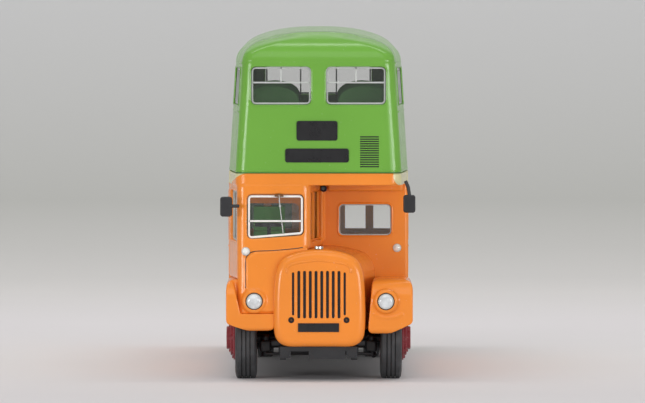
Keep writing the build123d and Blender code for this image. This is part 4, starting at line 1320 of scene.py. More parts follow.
@dataclass
class Mouldings(SubAssembly):
    """Gutters, waist rails and the front louvre."""

    radius: float = 0.16 * MM
    thin_share: float = 0.8
    sink: float = 0.04 * MM
    waist_upper_z: float = 44.3 * MM
    gutter_z: float = 52.35 * MM
    bead_z: float = 34.62 * MM
    bead_steps: int = 6
    waist_lower_z: float = 21.7 * MM
    skirt_rail_z: float = 12.6 * MM
    arch_share: float = 1.35
    band_z: float = 32.2 * MM
    louvre_x: Pair = (6.85 * MM, 9.95 * MM)
    louvre_z: float = 35.3 * MM
    louvre_pitch: float = 0.378 * MM
    louvre_height: float = 0.2 * MM
    louvre_depth: float = 0.08 * MM
    louvre_proud: float = 0.03 * MM
    louvre_count: int = 14
    platform_y: float = 35.2 * MM

    def build(self) -> None:
        """Build all mouldings."""
        self.upper_rails()
        self.lower_rails()
        self.louvre()

    @property
    def thin_radius(self) -> float:
        """Radius of the thinner mouldings."""
        return self.radius * self.thin_share

    def flank_path(self, side: Side, z: float, start: float, end: float, steps: int = 12) -> list[Vector]:
        """Points along the upper flank at one height.

        Args:
            side: Side of the bus.
            z: The height.
            start: Y of the front end.
            end: Y of the rear end.
            steps: Steps between them.

        Returns:
            The points, both ends included.
        """
        points = []
        for step in range(steps + 1):
            y = start + (end - start) * step / steps
            x = side.value * (self.body.upper_half(z) - self.body.upper_taper(y) - self.sink)
            points.append(Vector((x, y, z)))
        return points

    def upper_rails(self) -> None:
        """Waist rail and gutter along the upper deck, and the bead round its foot."""
        body = self.body
        rails = bmesh.new()
        start = body.upper_front(self.waist_upper_z) + body.front_corner
        end = body.upper_tail(self.waist_upper_z) - body.tail_corner
        for side in Side:
            tube(rails, self.flank_path(side, self.waist_upper_z, start, end), self.radius)
            tube(rails, self.flank_path(side, self.gutter_z, start, end), self.thin_radius)
        z = self.bead_z
        ends = (body.upper_front(z) + self.sink, body.upper_tail(z) - self.sink)
        plan = body.upper_plan(body.upper_half(z) - self.sink, ends, body.front_taper,
                               (body.front_corner, body.tail_corner), self.bead_steps)
        tube(rails, [(x, y, z) for x, y in plan], self.thin_radius, closed=True)
        to_piece("upper_rails", rails, self.paint.green)

    def lower_rails(self) -> None:
        """Waist rail and lower rail of the lower deck, and the edges of the cream band."""
        rails, edges = bmesh.new(), bmesh.new()
        front = self.body.bulkhead_y + self.body.wall
        tail = self.body.lower_tail - self.body.tail_corner
        arch_front = self.body.rear_axle_y - self.body.tyre_radius * self.arch_share
        arch_back = self.body.rear_axle_y + self.body.tyre_radius * self.arch_share
        for side in Side:
            end = tail if side is Side.OFFSIDE else self.platform_y - self.body.wall
            for mesh, z, start, stop in ((rails, self.waist_lower_z, front, end),
                                         (edges, self.band_z, front, tail),
                                         (rails, self.skirt_rail_z, front, arch_front),
                                         (rails, self.skirt_rail_z, arch_back, end)):
                x = side.value * (self.body.lower_half(z) - self.sink)
                if stop > start:
                    tube(mesh, [(x, start, z), (x, stop, z)], self.thin_radius)
        to_piece("lower_rails", rails, self.paint.orange)
        to_piece("band_edges", edges, self.paint.two_tone)

    def louvre(self) -> None:
        """Row of black slats on the front of the upper deck."""
        slats = bmesh.new()
        rise = (-self.louvre_height / 2, self.louvre_height / 2)
        for index in range(self.louvre_count):
            wall = self.body.upper_face(self.louvre_z + self.louvre_pitch * index)
            slab(slats, wall, self.louvre_x, rise, self.louvre_depth, self.louvre_proud)
        to_piece("louvre", slats, self.paint.print)


@dataclass
class FrontCasting(SubAssembly):
    """Cab, canopy, wings, bonnet and cowl as soft castings. Paths are typed in millimetres."""

    apron_path: Path = ((-11.9, 11.5), (-6.6, 11.5), (-6.6, 19.2), (-1.8, 19.6), (-1.8, 22.0), (-4.0, 21.65),
                        (-7.5, 21.35), (-10.5, 21.25), (-11.9, 20.2))
    apron_proud: float = 0.34 * MM
    apron_sink: float = 0.4 * MM
    # Middle of the painted shadow line beside the apron's left and top edges, in millimetres.
    groove_shadow_path: Path = ((-12.0, 15.3), (-12.0, 17.6), (-12.0, 19.9), (-11.55, 20.85), (-10.5, 21.36),
                       (-7.5, 21.48), (-4.2, 21.78), (-2.6, 22.0))
    groove_shadow_proud: float = 0.06 * MM
    groove_shadow_radius: float = 0.08 * MM
    header_x: Pair = (1.5 * MM, 14.0 * MM)
    header_ahead: Pair = (2.2 * MM, 0.05 * MM)
    header_z: Pair = (30.9 * MM, 32.4 * MM)
    header_radius: float = 0.3 * MM
    door_rails: Path = ((0.52, -39.2), (1.0, -37.5))
    rail_z: Pair = (22.6 * MM, 32.4 * MM)
    rail_radius: float = 0.24 * MM
    apron_low_reach: float = 8.9 * MM
    apron_top_reach: float = 7.95 * MM
    cab_low_z: float = 11.1 * MM
    canopy_low_z: float = 32.2 * MM
    cowl_half: Path = ((0, 5.67), (2.6, 5.67), (5.0, 5.68), (6.3, 6.1), (7.15, 7.0), (7.48, 8.3),
                       (7.58, 10.8), (7.52, 14.0), (7.34, 16.8), (6.98, 18.6), (6.2, 20.05), (4.8, 20.95),
                       (2.6, 21.55), (0, 21.78))
    cowl_depth: float = 3.0 * MM
    cowl_round: float = 1.25 * MM
    cowl_shift: float = 0.15 * MM
    face_inset: float = 0.25 * MM
    bead_path: Path = ((-5.2, 17.9), (-5.15, 18.6), (-4.6, 19.15), (-3.0, 19.6), (0.0, 19.93), (3.1, 19.6),
                       (4.7, 19.15), (5.25, 18.6), (5.3, 17.9))
    bead_radius: float = 0.22 * MM
    bead_sink_share: float = 0.45
    plate_depth: float = 0.15 * MM
    slot_count: int = 10
    slot_pitch: float = 0.944 * MM
    slot_width: float = 0.46 * MM
    end_slot_width: float = 0.36 * MM
    slot_round_share: float = 0.48
    slot_shift: float = 0.06 * MM
    slot_z: Pair = (10.4 * MM, 18.2 * MM)
    slot_drop: float = 0.25 * MM
    slot_lip: float = 0.07 * MM
    slot_depth: float = 0.8 * MM
    liner_gap: float = 0.012 * MM
    liner_lift: float = 0.02 * MM
    liner_sink: float = 0.3 * MM
    fog_x: float = 4.55 * MM
    fog_z: float = 10.1 * MM
    fog_radius: float = 0.5 * MM
    fog_depth: float = 0.8 * MM
    fog_steps: int = 20
    bulb_profile: Path = ((0.0, 0.0), (0.0, 0.17), (0.1, 0.15), (0.18, 0.08), (0.2, 0.0))
    bulb_sink: float = 0.05 * MM
    wing_grain: float = 0.12 * MM
    wing_front_y: float = -53.05 * MM
    wing_x: Pair = (7.85 * MM, 15.55 * MM)
    swage_path: Path = ((9.1, 11.2), (10.2, 10.55), (11.6, 10.4), (13.0, 10.7), (13.9, 11.15))
    swage_radius: float = 0.26 * MM
    swage_sink: float = 0.06 * MM
    corner_x: float = 13.15 * MM
    corner_z: float = 14.3 * MM
    corner_power: float = 3.6
    notch_x: float = -13.65 * MM
    notch_z: Pair = (11.1 * MM, 16.7 * MM)
    notch_reach: float = 0.08 * MM
    notch_slack: float = 0.05 * MM
    notch_low_x: float = -12.85 * MM
    notch_high_x: float = -14.15 * MM
    foot_x: float = -9.0 * MM
    foot_run: float = 0.55 * MM
    foot_z: float = 9.5 * MM
    foot_lift: float = 0.45 * MM
    foot_height: float = 1.7 * MM
    tip_x: float = -14.0 * MM
    tip_draw: float = 0.3 * MM
    tip_reach: float = 1.55 * MM
    lean_z: float = 8.0 * MM
    lean_foot: float = 0.28 * MM
    lean_gain: float = 0.75 * MM
    lean_height: float = 8.7 * MM

    def build(self) -> None:
        """Build the castings of the front."""
        self.cab()
        self.wings()
        self.cowl()

    def cab_face(self, z: float) -> WallPlane:
        """Patch of the cab's raked front.

        Args:
            z: Height of its zero.

        Returns:
            The patch.
        """
        share = (z - self.cab_low_z) / (self.canopy_low_z - self.cab_low_z)
        reach = self.apron_low_reach + (self.apron_top_reach - self.apron_low_reach) * share
        rake = (self.apron_low_reach - self.apron_top_reach) / (self.canopy_low_z - self.cab_low_z)
        up = Vector((0, rake, 1)).normalized()
        return WallPlane(Vector((0, self.body.ahead(reach), z)), Vector((1, 0, 0)), up)

    def cab(self) -> None:
        """Cab and canopy in one, with the raised apron panel and the offside lamp's bezel, and a thin black
        rod of painted shadow along the apron's edge.
        """
        mesh = bmesh.new()
        copy_node("cab_shell", mesh)
        copy_node("front_canopy", mesh)
        copy_node("headlamp_housings", mesh, Side.OFFSIDE)
        wall = self.cab_face(self.cab_low_z)
        panel = shifted(millimetres(self.apron_path), 0.0, -self.cab_low_z)
        prism(mesh, wall, panel, -self.apron_sink, self.apron_proud)
        (left, right), (far, near), (low, high) = self.header_x, self.header_ahead, self.header_z
        soft_box(mesh, (left, self.body.bulkhead_y - far, low), (right, self.body.bulkhead_y - near, high),
                 self.header_radius)
        low, high = self.rail_z
        for x, y in millimetres(self.door_rails):
            tube(mesh, [(x, y, low), (x, y, high)], self.rail_radius, 12)
        cast("cab_casting", mesh, self.paint.canopy, ("cab_shell", "front_canopy"))
        # Painted shadow: a thin black rod along the apron's left and top edges stands in for the shade in the
        # groove there.
        groove_shadow = bmesh.new()
        line = flowing(shifted(millimetres(self.groove_shadow_path), 0.0, -self.cab_low_z), 4)
        tube(groove_shadow, [wall.at(u, v, self.groove_shadow_proud) for u, v in line], self.groove_shadow_radius, 8)
        to_piece("apron_groove_shadow", groove_shadow, self.paint.black)

    def reshape_offside(self, mesh: Mesh) -> None:
        """Slope the edge beside the apron, and run the foot on to the cowl.

        Args:
            mesh: Mesh of the offside wing.
        """
        low, high = self.notch_z
        self.square_corner(mesh, Side.OFFSIDE)
        for vert in mesh.verts:
            if vert.co.z < self.foot_z:
                vert.co.z += self.foot_lift * (self.foot_z - vert.co.z) / self.foot_height
            if vert.co.x < self.tip_x:
                vert.co.x += self.tip_draw * (self.tip_x - vert.co.x) / self.tip_reach
            if abs(vert.co.x - self.notch_x) < self.notch_reach and vert.co.z > low - self.notch_slack:
                share = min(1.0, (vert.co.z - low) / (high - low))
                vert.co.x = self.notch_low_x + (self.notch_high_x - self.notch_low_x) * share
            elif vert.co.x > self.foot_x:
                vert.co.x += self.foot_run * (vert.co.x - self.foot_x) / (-self.wing_x[0] - self.foot_x)

    def reshape_nearside(self, mesh: Mesh) -> None:
        """Lean the edge beside the cowl outwards.

        Args:
            mesh: Mesh of the nearside wing.
        """
        near, far = self.wing_x
        self.square_corner(mesh, Side.NEARSIDE)
        for vert in mesh.verts:
            lean = self.lean_foot + self.lean_gain * (vert.co.z - self.lean_z) / self.lean_height
            vert.co.x += lean * max(0.0, (far - vert.co.x) / (far - near))

    def square_corner(self, mesh: Mesh, side: Side) -> None:
        """Draw the outer top corner of a wing out to a squarer shape.

        Args:
            mesh: Mesh of the wing.
            side: Side of the bus.
        """
        for vert in mesh.verts:
            across, rise = side.value * vert.co.x - self.corner_x, vert.co.z - self.corner_z
            reach = math.hypot(across, rise)
            if across > 0 and rise > 0 and reach > 0:
                power = self.corner_power
                share = ((across / reach) ** power + (rise / reach) ** power) ** (-1 / power)
                vert.co.x = side.value * (self.corner_x + across * share)
                vert.co.z = self.corner_z + rise * share

    def wings(self) -> None:
        """Wings with softened edges and a swage along the front."""
        mesh = bmesh.new()
        copy_node("offside_wing", mesh)
        self.reshape_offside(mesh)
        cast("offside_wing_casting", mesh, self.paint.orange, ("offside_wing",),
             self.wing_grain, 14)
        mesh = bmesh.new()
        copy_node("nearside_wing", mesh)
        self.reshape_nearside(mesh)
        copy_node("headlamp_housings", mesh, Side.NEARSIDE)
        swage_y = self.wing_front_y + self.swage_sink
        swage = [(x, swage_y, z) for x, z in flowing(millimetres(self.swage_path), 5)]
        tube(mesh, swage, self.swage_radius)
        cast("nearside_wing_casting", mesh, self.paint.orange, ("nearside_wing", "headlamp_housings"),
             self.wing_grain, 12)

    def cowl_outline(self) -> Outline:
        """Front outline of the cowl.

        Returns:
            The points, anticlockwise.
        """
        right = flowing(millimetres(self.cowl_half), 4)
        left = [(-u, v) for u, v in reversed(right[1:-1])]
        return shifted(right + left, self.cowl_shift)

    def hole_paths(self) -> list[tuple[Outline, float]]:
        """Outline and depth of every slot and lamp hole of the cowl.

        Returns:
            The slots, and then the lamp holes.
        """
        holes = []
        for index in range(self.slot_count):
            outer = index in (0, self.slot_count - 1)
            x = (index - (self.slot_count - 1) / 2) * self.slot_pitch + self.slot_shift
            drop = self.slot_drop if outer else 0.0
            width = self.end_slot_width if outer else self.slot_width
            low, high = self.slot_z[0] + drop * 2, self.slot_z[1] - drop
            path = rounded_rectangle(width, high - low, width * self.slot_round_share, 4)
            holes.append((shifted(path, x, (low + high) / 2), self.slot_depth))
        turns = [math.tau * step / self.fog_steps for step in range(self.fog_steps)]
        circle = [(self.fog_radius * math.cos(turn), self.fog_radius * math.sin(turn)) for turn in turns]
        for side in Side:
            x = side.value * self.fog_x + self.slot_shift
            holes.append((shifted(circle, x, self.fog_z), self.fog_depth))
        return holes

    def cowl_sides(self, mesh: Mesh, wall: WallPlane) -> list[bmesh.types.BMVert]:
        """Add the cowl's rounded sides and its back.

        Args:
            mesh: The mesh to add to.
            wall: The plane of its face.

        Returns:
            The points round its open face.
        """
        outline = self.cowl_outline()
        stages = [(self.cowl_round + self.face_inset, 0.0)]
        for degrees in (0, 10, 20, 30, 40, 50, 60, 75, 90):
            angle = math.radians(degrees)
            stages.append((self.cowl_round * (1 - math.sin(angle)), self.cowl_round * (1 - math.cos(angle))))
        stages.append((0.0, self.cowl_depth))
        rows = []
        for inset, depth in stages:
            rows.append([mesh.verts.new(wall.at(u, v, -depth)) for u, v in moved_in(outline, inset)])
        stacked(mesh, rows)
        mesh.faces.new(rows[-1])
        return rows[0]

    def cowl_holes(self, mesh: Mesh, liners: Mesh, wall: WallPlane) -> list[list[bmesh.types.BMVert]]:
        """Add the walls and floors of the cowl's holes, and their dark liners.

        Args:
            mesh: Mesh of the cowl.
            liners: Mesh of the liners.
            wall: The plane of the cowl's face.

        Returns:
            The points round the mouth of each hole.
        """
        mouths = []
        for path, depth in self.hole_paths():
            stages = []
            for grow, place in ((self.slot_lip, 0.0), (0.0, self.slot_lip), (0.0, depth)):
                stages.append([mesh.verts.new(wall.at(u, v, -place)) for u, v in moved_in(path, -grow)])
            stacked(mesh, stages)
            mesh.faces.new(stages[-1])
            mouths.append(stages[0])
            prism(liners, wall, moved_in(path, self.liner_gap), -depth + self.liner_lift, -self.liner_sink)
        return mouths

    def cowl(self) -> None:
        """Rounded cowl with dark slots through its face, a bead round them and two lamp holes."""
        mesh, liners, bulbs = bmesh.new(), bmesh.new(), bmesh.new()
        wall = WallPlane.upright((0, self.body.face_y + self.plate_depth, 0))
        loops = [self.cowl_sides(mesh, wall)]
        loops += self.cowl_holes(mesh, liners, wall)
        edges = []
        for loop in loops:
            for index, vert in enumerate(loop):
                ends = (vert, loop[(index + 1) % len(loop)])
                edges.append(mesh.edges.get(ends) or mesh.edges.new(ends))
        bmesh.ops.triangle_fill(mesh, use_beauty=True, edges=edges, normal=FORWARD)
        bead = flowing(millimetres(self.bead_path), 6)
        bead_sink = self.bead_radius * self.bead_sink_share
        tube(mesh, [wall.at(u, v, -bead_sink) for u, v in bead], self.bead_radius, 12)
        for side in Side:
            x = side.value * self.fog_x + self.slot_shift
            spot = wall.at(x, self.fog_z, -self.liner_sink - self.bulb_sink)
            turned(bulbs, spot, FORWARD, millimetres(self.bulb_profile), 16)
        piece = to_piece("cowl_casting", mesh, self.paint.orange, smooth_angle=30.0)
        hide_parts("radiator_cowl")
        to_piece("cowl_slot_liners", liners, self.paint.print)
        to_piece("cowl_lamp_bulbs", bulbs, self.paint.bronze)


@dataclass
class CabTrim(SubAssembly):
    """Windscreen frame, wiper and side frames of the cab, a black form of painted shade under the canopy, and
    the bulkhead window's frame.
    """

    casting: FrontCasting
    screen_x: Pair = (-11.8 * MM, -2.4 * MM)
    screen_high_z: float = 30.75 * MM
    screen_low_z: Pair = (23.35 * MM, 24.0 * MM)
    screen_radius: float = 0.8 * MM
    frame_inset: float = 0.16 * MM
    frame_width: float = 0.34 * MM
    frame_depth: float = 0.4 * MM
    sink: float = 0.45 * MM
    bar_z: float = 26.35 * MM
    bar_width: float = 0.3 * MM
    side_z: Pair = (22.9 * MM, 31.2 * MM)
    side_y: Pair = (-49.7 * MM, -39.05 * MM)
    side_reach: float = 8.3 * MM
    side_width_share: float = 0.8
    offside_x: Pair = (-13.3 * MM, -14.9 * MM)
    nearside_x: Pair = (-1.5 * MM, 0.9 * MM)
    bulkhead_x: Pair = (3.25 * MM, 12.3 * MM)
    bulkhead_z: Pair = (23.3 * MM, 28.8 * MM)
    bulkhead_radius: float = 0.9 * MM
    bulkhead_frame_width: float = 0.36 * MM
    bulkhead_sink: float = 0.3 * MM
    lip_radius: float = 0.17 * MM
    lip_sink: float = 0.02 * MM
    wiper_z: float = 28.8 * MM
    spindle_place: Point = (-6.5 * MM, 1.75 * MM, 0.1 * MM)
    spindle_profile: Path = ((-0.5, 0), (-0.5, 0.34), (0.12, 0.34), (0.2, 0.24), (0.22, 0))
    motor_half: Point = (0.75 * MM, 0.2 * MM, 0.2 * MM)
    motor_radius: float = 0.1 * MM
    arm_place: Point = (-6.5 * MM, 1.75 * MM, 0.3 * MM)
    arm_radius: float = 0.075 * MM
    blade_places: tuple[Point, ...] = ((-6.5 * MM, 1.0 * MM, 0.02 * MM), (-6.35 * MM, 0.0, 0.12 * MM),
                                       (-5.85 * MM, -4.4 * MM, 0.02 * MM))
    blade_radius: float = 0.07 * MM
    boss_profile: Path = ((-0.08, 0), (-0.08, 0.18), (0.1, 0.18), (0.14, 0))
    # Place and profile of the black form of painted shade under the canopy.
    recess_shade_x: float = 0.75 * MM
    recess_shade_ahead: float = 3.2 * MM
    recess_shade_z: float = 31.35 * MM
    recess_shade_axis: Point = (0.25, -1, 0)
    recess_shade_profile: Path = ((-0.4, 0), (-0.4, 0.5), (0.5, 0.55), (0.62, 0.48), (0.4, 0.38), (0.3, 0))

    def build(self) -> None:
        """Build the trim of the cab and the bulkhead."""
        self.windscreen()
        self.wiper()
        self.side_frames()
        self.bulkhead_frame()
        self.recess_shade()

    def screen_path(self) -> Outline:
        """Outline of the windscreen, in X and Z.

        Returns:
            The points, anticlockwise.
        """
        left, right = self.screen_x
        radius = self.screen_radius
        corners = [((right, self.screen_high_z), 0), ((left, self.screen_high_z), 90),
                   ((left, self.screen_low_z[0]), 180), ((right, self.screen_low_z[1]), 270)]
        points = []
        for (x, z), start in corners:
            middle_x = x - radius if x == right else x + radius
            middle_z = z - radius if z == self.screen_high_z else z + radius
            for step in range(7):
                angle = math.radians(start + 15 * step)
                points.append((middle_x + radius * math.cos(angle), middle_z + radius * math.sin(angle)))
        return points

    def windscreen(self) -> None:
        """White frame and bar of the windscreen."""
        mesh = bmesh.new()
        wall = self.casting.cab_face(self.bar_z)
        path = shifted(self.screen_path(), 0.0, -self.bar_z)
        ring(mesh, wall, moved_in(path, self.frame_inset), self.frame_width, self.frame_depth, -self.sink)
        left, right = self.screen_x
        inset = self.frame_inset + self.frame_width / 2
        slab(mesh, wall, (left + inset, right - inset), (-self.bar_width / 2, self.bar_width / 2),
             self.frame_depth, -self.sink)
        to_piece("windscreen_frame", mesh, self.paint.white)

    def wiper(self) -> None:
        """Wiper with its motor box above the screen, its arm and its blade."""
        wall = self.casting.cab_face(self.wiper_z)
        motor, arm = bmesh.new(), bmesh.new()
        spindle, half = wall.at(*self.spindle_place), Vector(self.motor_half)
        turned(motor, spindle, wall.out, millimetres(self.spindle_profile), 20)
        soft_box(motor, tuple(spindle - half), tuple(spindle + half), self.motor_radius)
        blade = [wall.at(*place) for place in self.blade_places]
        tube(arm, [wall.at(*self.arm_place), blade[1]], self.arm_radius)
        tube(arm, blade, self.blade_radius)
        turned(arm, blade[1], wall.out, millimetres(self.boss_profile), 16)
        to_piece("wiper_motor", motor, self.paint.bronze)
        to_piece("wiper", arm, self.paint.silver)

    def side_frames(self) -> None:
        """Frames of the cab's side windows."""
        low, high = self.side_z
        start, end = self.side_y
        middle = Vector((0, (start + end) / 2, (low + high) / 2))
        half_height = (high - low) / 2
        for side, ends, finish in ((Side.OFFSIDE, self.offside_x, self.paint.silver),
                                   (Side.NEARSIDE, self.nearside_x, self.paint.orange)):
            mesh = bmesh.new()
            front = Vector((ends[0], self.body.ahead(self.side_reach), 0))
            back = Vector((ends[1], self.body.bulkhead_y, 0))
            share = (middle.y - front.y) / (back.y - front.y)
            origin = front + (back - front) * share
            origin.z = middle.z
            wall = WallPlane(origin, (back - front).normalized() * side.value, Vector((0, 0, 1)))
            path = rounded_rectangle(end - start, high - low, self.screen_radius)
            ring(mesh, wall, path, self.frame_width * self.side_width_share, self.frame_depth, -self.sink)
            slab(mesh, wall, (-self.bar_width / 2, self.bar_width / 2), (-half_height, half_height),
                 self.frame_depth, -self.sink)
            to_piece(f"cab_{side.name.lower()}_frame", mesh, finish)

    def bulkhead_frame(self) -> None:
        """Silver frame of the bulkhead's nearside window, and the lip of its opening."""
        mesh, lip = bmesh.new(), bmesh.new()
        low, high = self.bulkhead_z
        left, right = self.bulkhead_x
        wall = WallPlane.upright(((left + right) / 2, self.body.bulkhead_y, (low + high) / 2))
        path = rounded_rectangle(right - left, high - low, self.bulkhead_radius)
        ring(mesh, wall, path, self.bulkhead_frame_width, self.frame_depth, -self.bulkhead_sink)
        round_rim(lip, wall, path, self.lip_radius, self.lip_sink)
        to_piece("bulkhead_window_frame", mesh, self.paint.silver)
        to_piece("bulkhead_window_lip", lip, self.paint.orange)

    def recess_shade(self) -> None:
        """Round black form at the top of the cab's nearside wall, under the canopy: painted shade for the
        dark recess there.
        """
        mesh = bmesh.new()
        centre = (self.recess_shade_x, self.body.bulkhead_y - self.recess_shade_ahead, self.recess_shade_z)
        # Painted shade: a black turned form stands where the recess under the canopy shows dark.
        turned(mesh, centre, self.recess_shade_axis, millimetres(self.recess_shade_profile), 24)
        to_piece("cab_recess_shade", mesh, self.paint.black)


@dataclass
class Lamps(SubAssembly):
    """Headlamp lenses in their seats, and sidelights. Profiles are typed in millimetres."""

    head_z: float = 13.15 * MM
    head_offside: Pair = (-10.6 * MM, -52.46 * MM)
    head_nearside: Pair = (11.1 * MM, -53.05 * MM)
    housing_depth: float = 0.75 * MM
    lens_radius: float = 1.17 * MM
    lens_base: float = 0.6 * MM
    lens_rise: float = 0.3 * MM
    rim_profile: Path = ((-0.5, 1.1), (-0.5, 1.27), (0.06, 1.27), (0.12, 1.22), (0.12, 1.1))
    seat_profile: Path = ((-0.7, 1.25), (-0.7, 1.43), (-0.12, 1.43), (-0.12, 1.25))
    side_offside: Pair = (-12.0 * MM, -52.09 * MM)
    side_nearside: Pair = (13.1 * MM, -37.15 * MM)
    side_z: float = 21.35 * MM
    side_radius: float = 0.602 * MM
    side_base: float = 0.2 * MM
    side_rise: float = 0.42 * MM
    foot_profile: Path = ((-0.25, 0.5), (-0.25, 0.7), (0.12, 0.7), (0.18, 0.64), (0.16, 0.5))

    def build(self) -> None:
        """Build the lamps."""
        self.headlamps()
        self.sidelights()

    @staticmethod
    def dome(radius: float, base: float, rise: float, steps: int = 8) -> Outline:
        """Profile of a domed lens on a short barrel.

        Args:
            radius: Radius of the lens.
            base: Length of the barrel.
            rise: Height of the dome.
            steps: Steps up the dome.

        Returns:
            The profile, for a turned form.
        """
        profile = [(-base, 0.0), (-base, radius)]
        for step in range(steps):
            angle = math.radians(90 * step / steps)
            profile.append((rise * math.sin(angle), radius * math.cos(angle)))
        return profile + [(rise, 0.0)]

    def headlamps(self) -> None:
        """Domed lenses with a thin bright rim in a dark seat."""
        lenses, seats, rims = bmesh.new(), bmesh.new(), bmesh.new()
        for x, y in (self.head_offside, self.head_nearside):
            front = (x, y - self.housing_depth, self.head_z)
            turned(lenses, front, FORWARD, self.dome(self.lens_radius, self.lens_base, self.lens_rise))
            turned(rims, front, FORWARD, millimetres(self.rim_profile), bored=True)
            turned(seats, front, FORWARD, millimetres(self.seat_profile), bored=True)
        lens = to_piece("headlamp_lenses", lenses, self.paint.lens)
        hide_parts("headlamps")
        to_piece("headlamp_rims", rims, self.paint.silver)
        to_piece("headlamp_seats", seats, self.paint.print)

    def sidelights(self) -> None:
        """Domed sidelights with a narrow foot ring."""
        lenses, feet = bmesh.new(), bmesh.new()
        for x, y in (self.side_offside, self.side_nearside):
            front = (x, y, self.side_z)
            turned(lenses, front, FORWARD, self.dome(self.side_radius, self.side_base, self.side_rise), 32)
            turned(feet, front, FORWARD, millimetres(self.foot_profile), 32, bored=True)
        lens = to_piece("sidelight_lenses", lenses, self.paint.white_lens)
        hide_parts("sidelights")
        to_piece("sidelight_feet", feet, self.paint.silver)


@dataclass
class Mirrors(SubAssembly):
    """Driving mirrors with their arms and glasses."""

    near_head: tuple[float, float, float, float] = (13.95 * MM, 15.95 * MM, 27.75 * MM, 30.7 * MM)
    near_arm: Path = ((14.3, 33.0), (14.75, 32.0), (15.0, 30.4))
    off_width: float = 2.0 * MM
    head_depth: float = 0.62 * MM
    head_radius: float = 0.45 * MM
    back_inset: float = 0.16 * MM
    face_inset: float = 0.2 * MM
    glass_margin: float = 0.22 * MM
    glass_proud: float = 0.03 * MM
    arm_radius: float = 0.3 * MM
    arm_rise: float = 0.1 * MM
    arm_lap: float = 0.4 * MM
    arm_reach: float = 0.6 * MM
    arm_setback: float = 0.3 * MM

    def build(self) -> None:
        """Build both mirrors."""
        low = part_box("nearside_mirror")[0]
        left, right, bottom, top = self.near_head
        self.mirror(Side.NEARSIDE, (left, low[1], bottom), (right, low[1] + self.head_depth, top))
        low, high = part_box("offside_mirror")
        self.mirror(Side.OFFSIDE, (low[0], low[1], low[2]),
                    (low[0] + self.off_width, low[1] + self.head_depth, high[2]))

    def mirror(self, side: Side, low: Point, high: Point) -> None:
        """Build one mirror.

        Args:
            side: Side of the bus.
            low: Lowest corner of its head.
            high: Highest corner of its head.
        """
        head, glass = bmesh.new(), bmesh.new()
        name = f"{side.name.lower()}_mirror"
        middle_y = (low[1] + high[1]) / 2
        plate = WallPlane.upright(((low[0] + high[0]) / 2, middle_y, (low[2] + high[2]) / 2))
        width, height, depth = high[0] - low[0], high[2] - low[2], high[1] - low[1]
        path = rounded_rectangle(width, height, self.head_radius)
        rows = []
        for inset, proud in ((self.face_inset, -depth / 2), (0.0, -depth * 0.3), (0.0, depth * 0.2),
                             (self.back_inset, depth / 2)):
            rows.append([head.verts.new(plate.at(u, v, proud)) for u, v in moved_in(path, inset)])
        stacked(head, rows)
        head.faces.new(rows[0])
        head.faces.new(rows[-1])
        prism(glass, plate, moved_in(path, self.glass_margin), -depth / 2 - self.glass_proud, -depth / 4)
        if side is Side.NEARSIDE:
            arm = [(x, middle_y, z) for x, z in millimetres(self.near_arm)]
        else:
            arm_z = (low[2] + high[2]) / 2 + self.arm_rise
            arm = [(high[0] - self.arm_lap, middle_y, arm_z), (high[0] + self.arm_reach, middle_y, arm_z),
                   (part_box(name)[1][0], middle_y + self.arm_setback, arm_z)]
        tube(head, arm, self.arm_radius, 12)
        piece = to_piece(f"{name}_head", head, self.paint.black)
        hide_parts(name)
        to_piece(f"{name}_glass", glass, self.paint.steel)


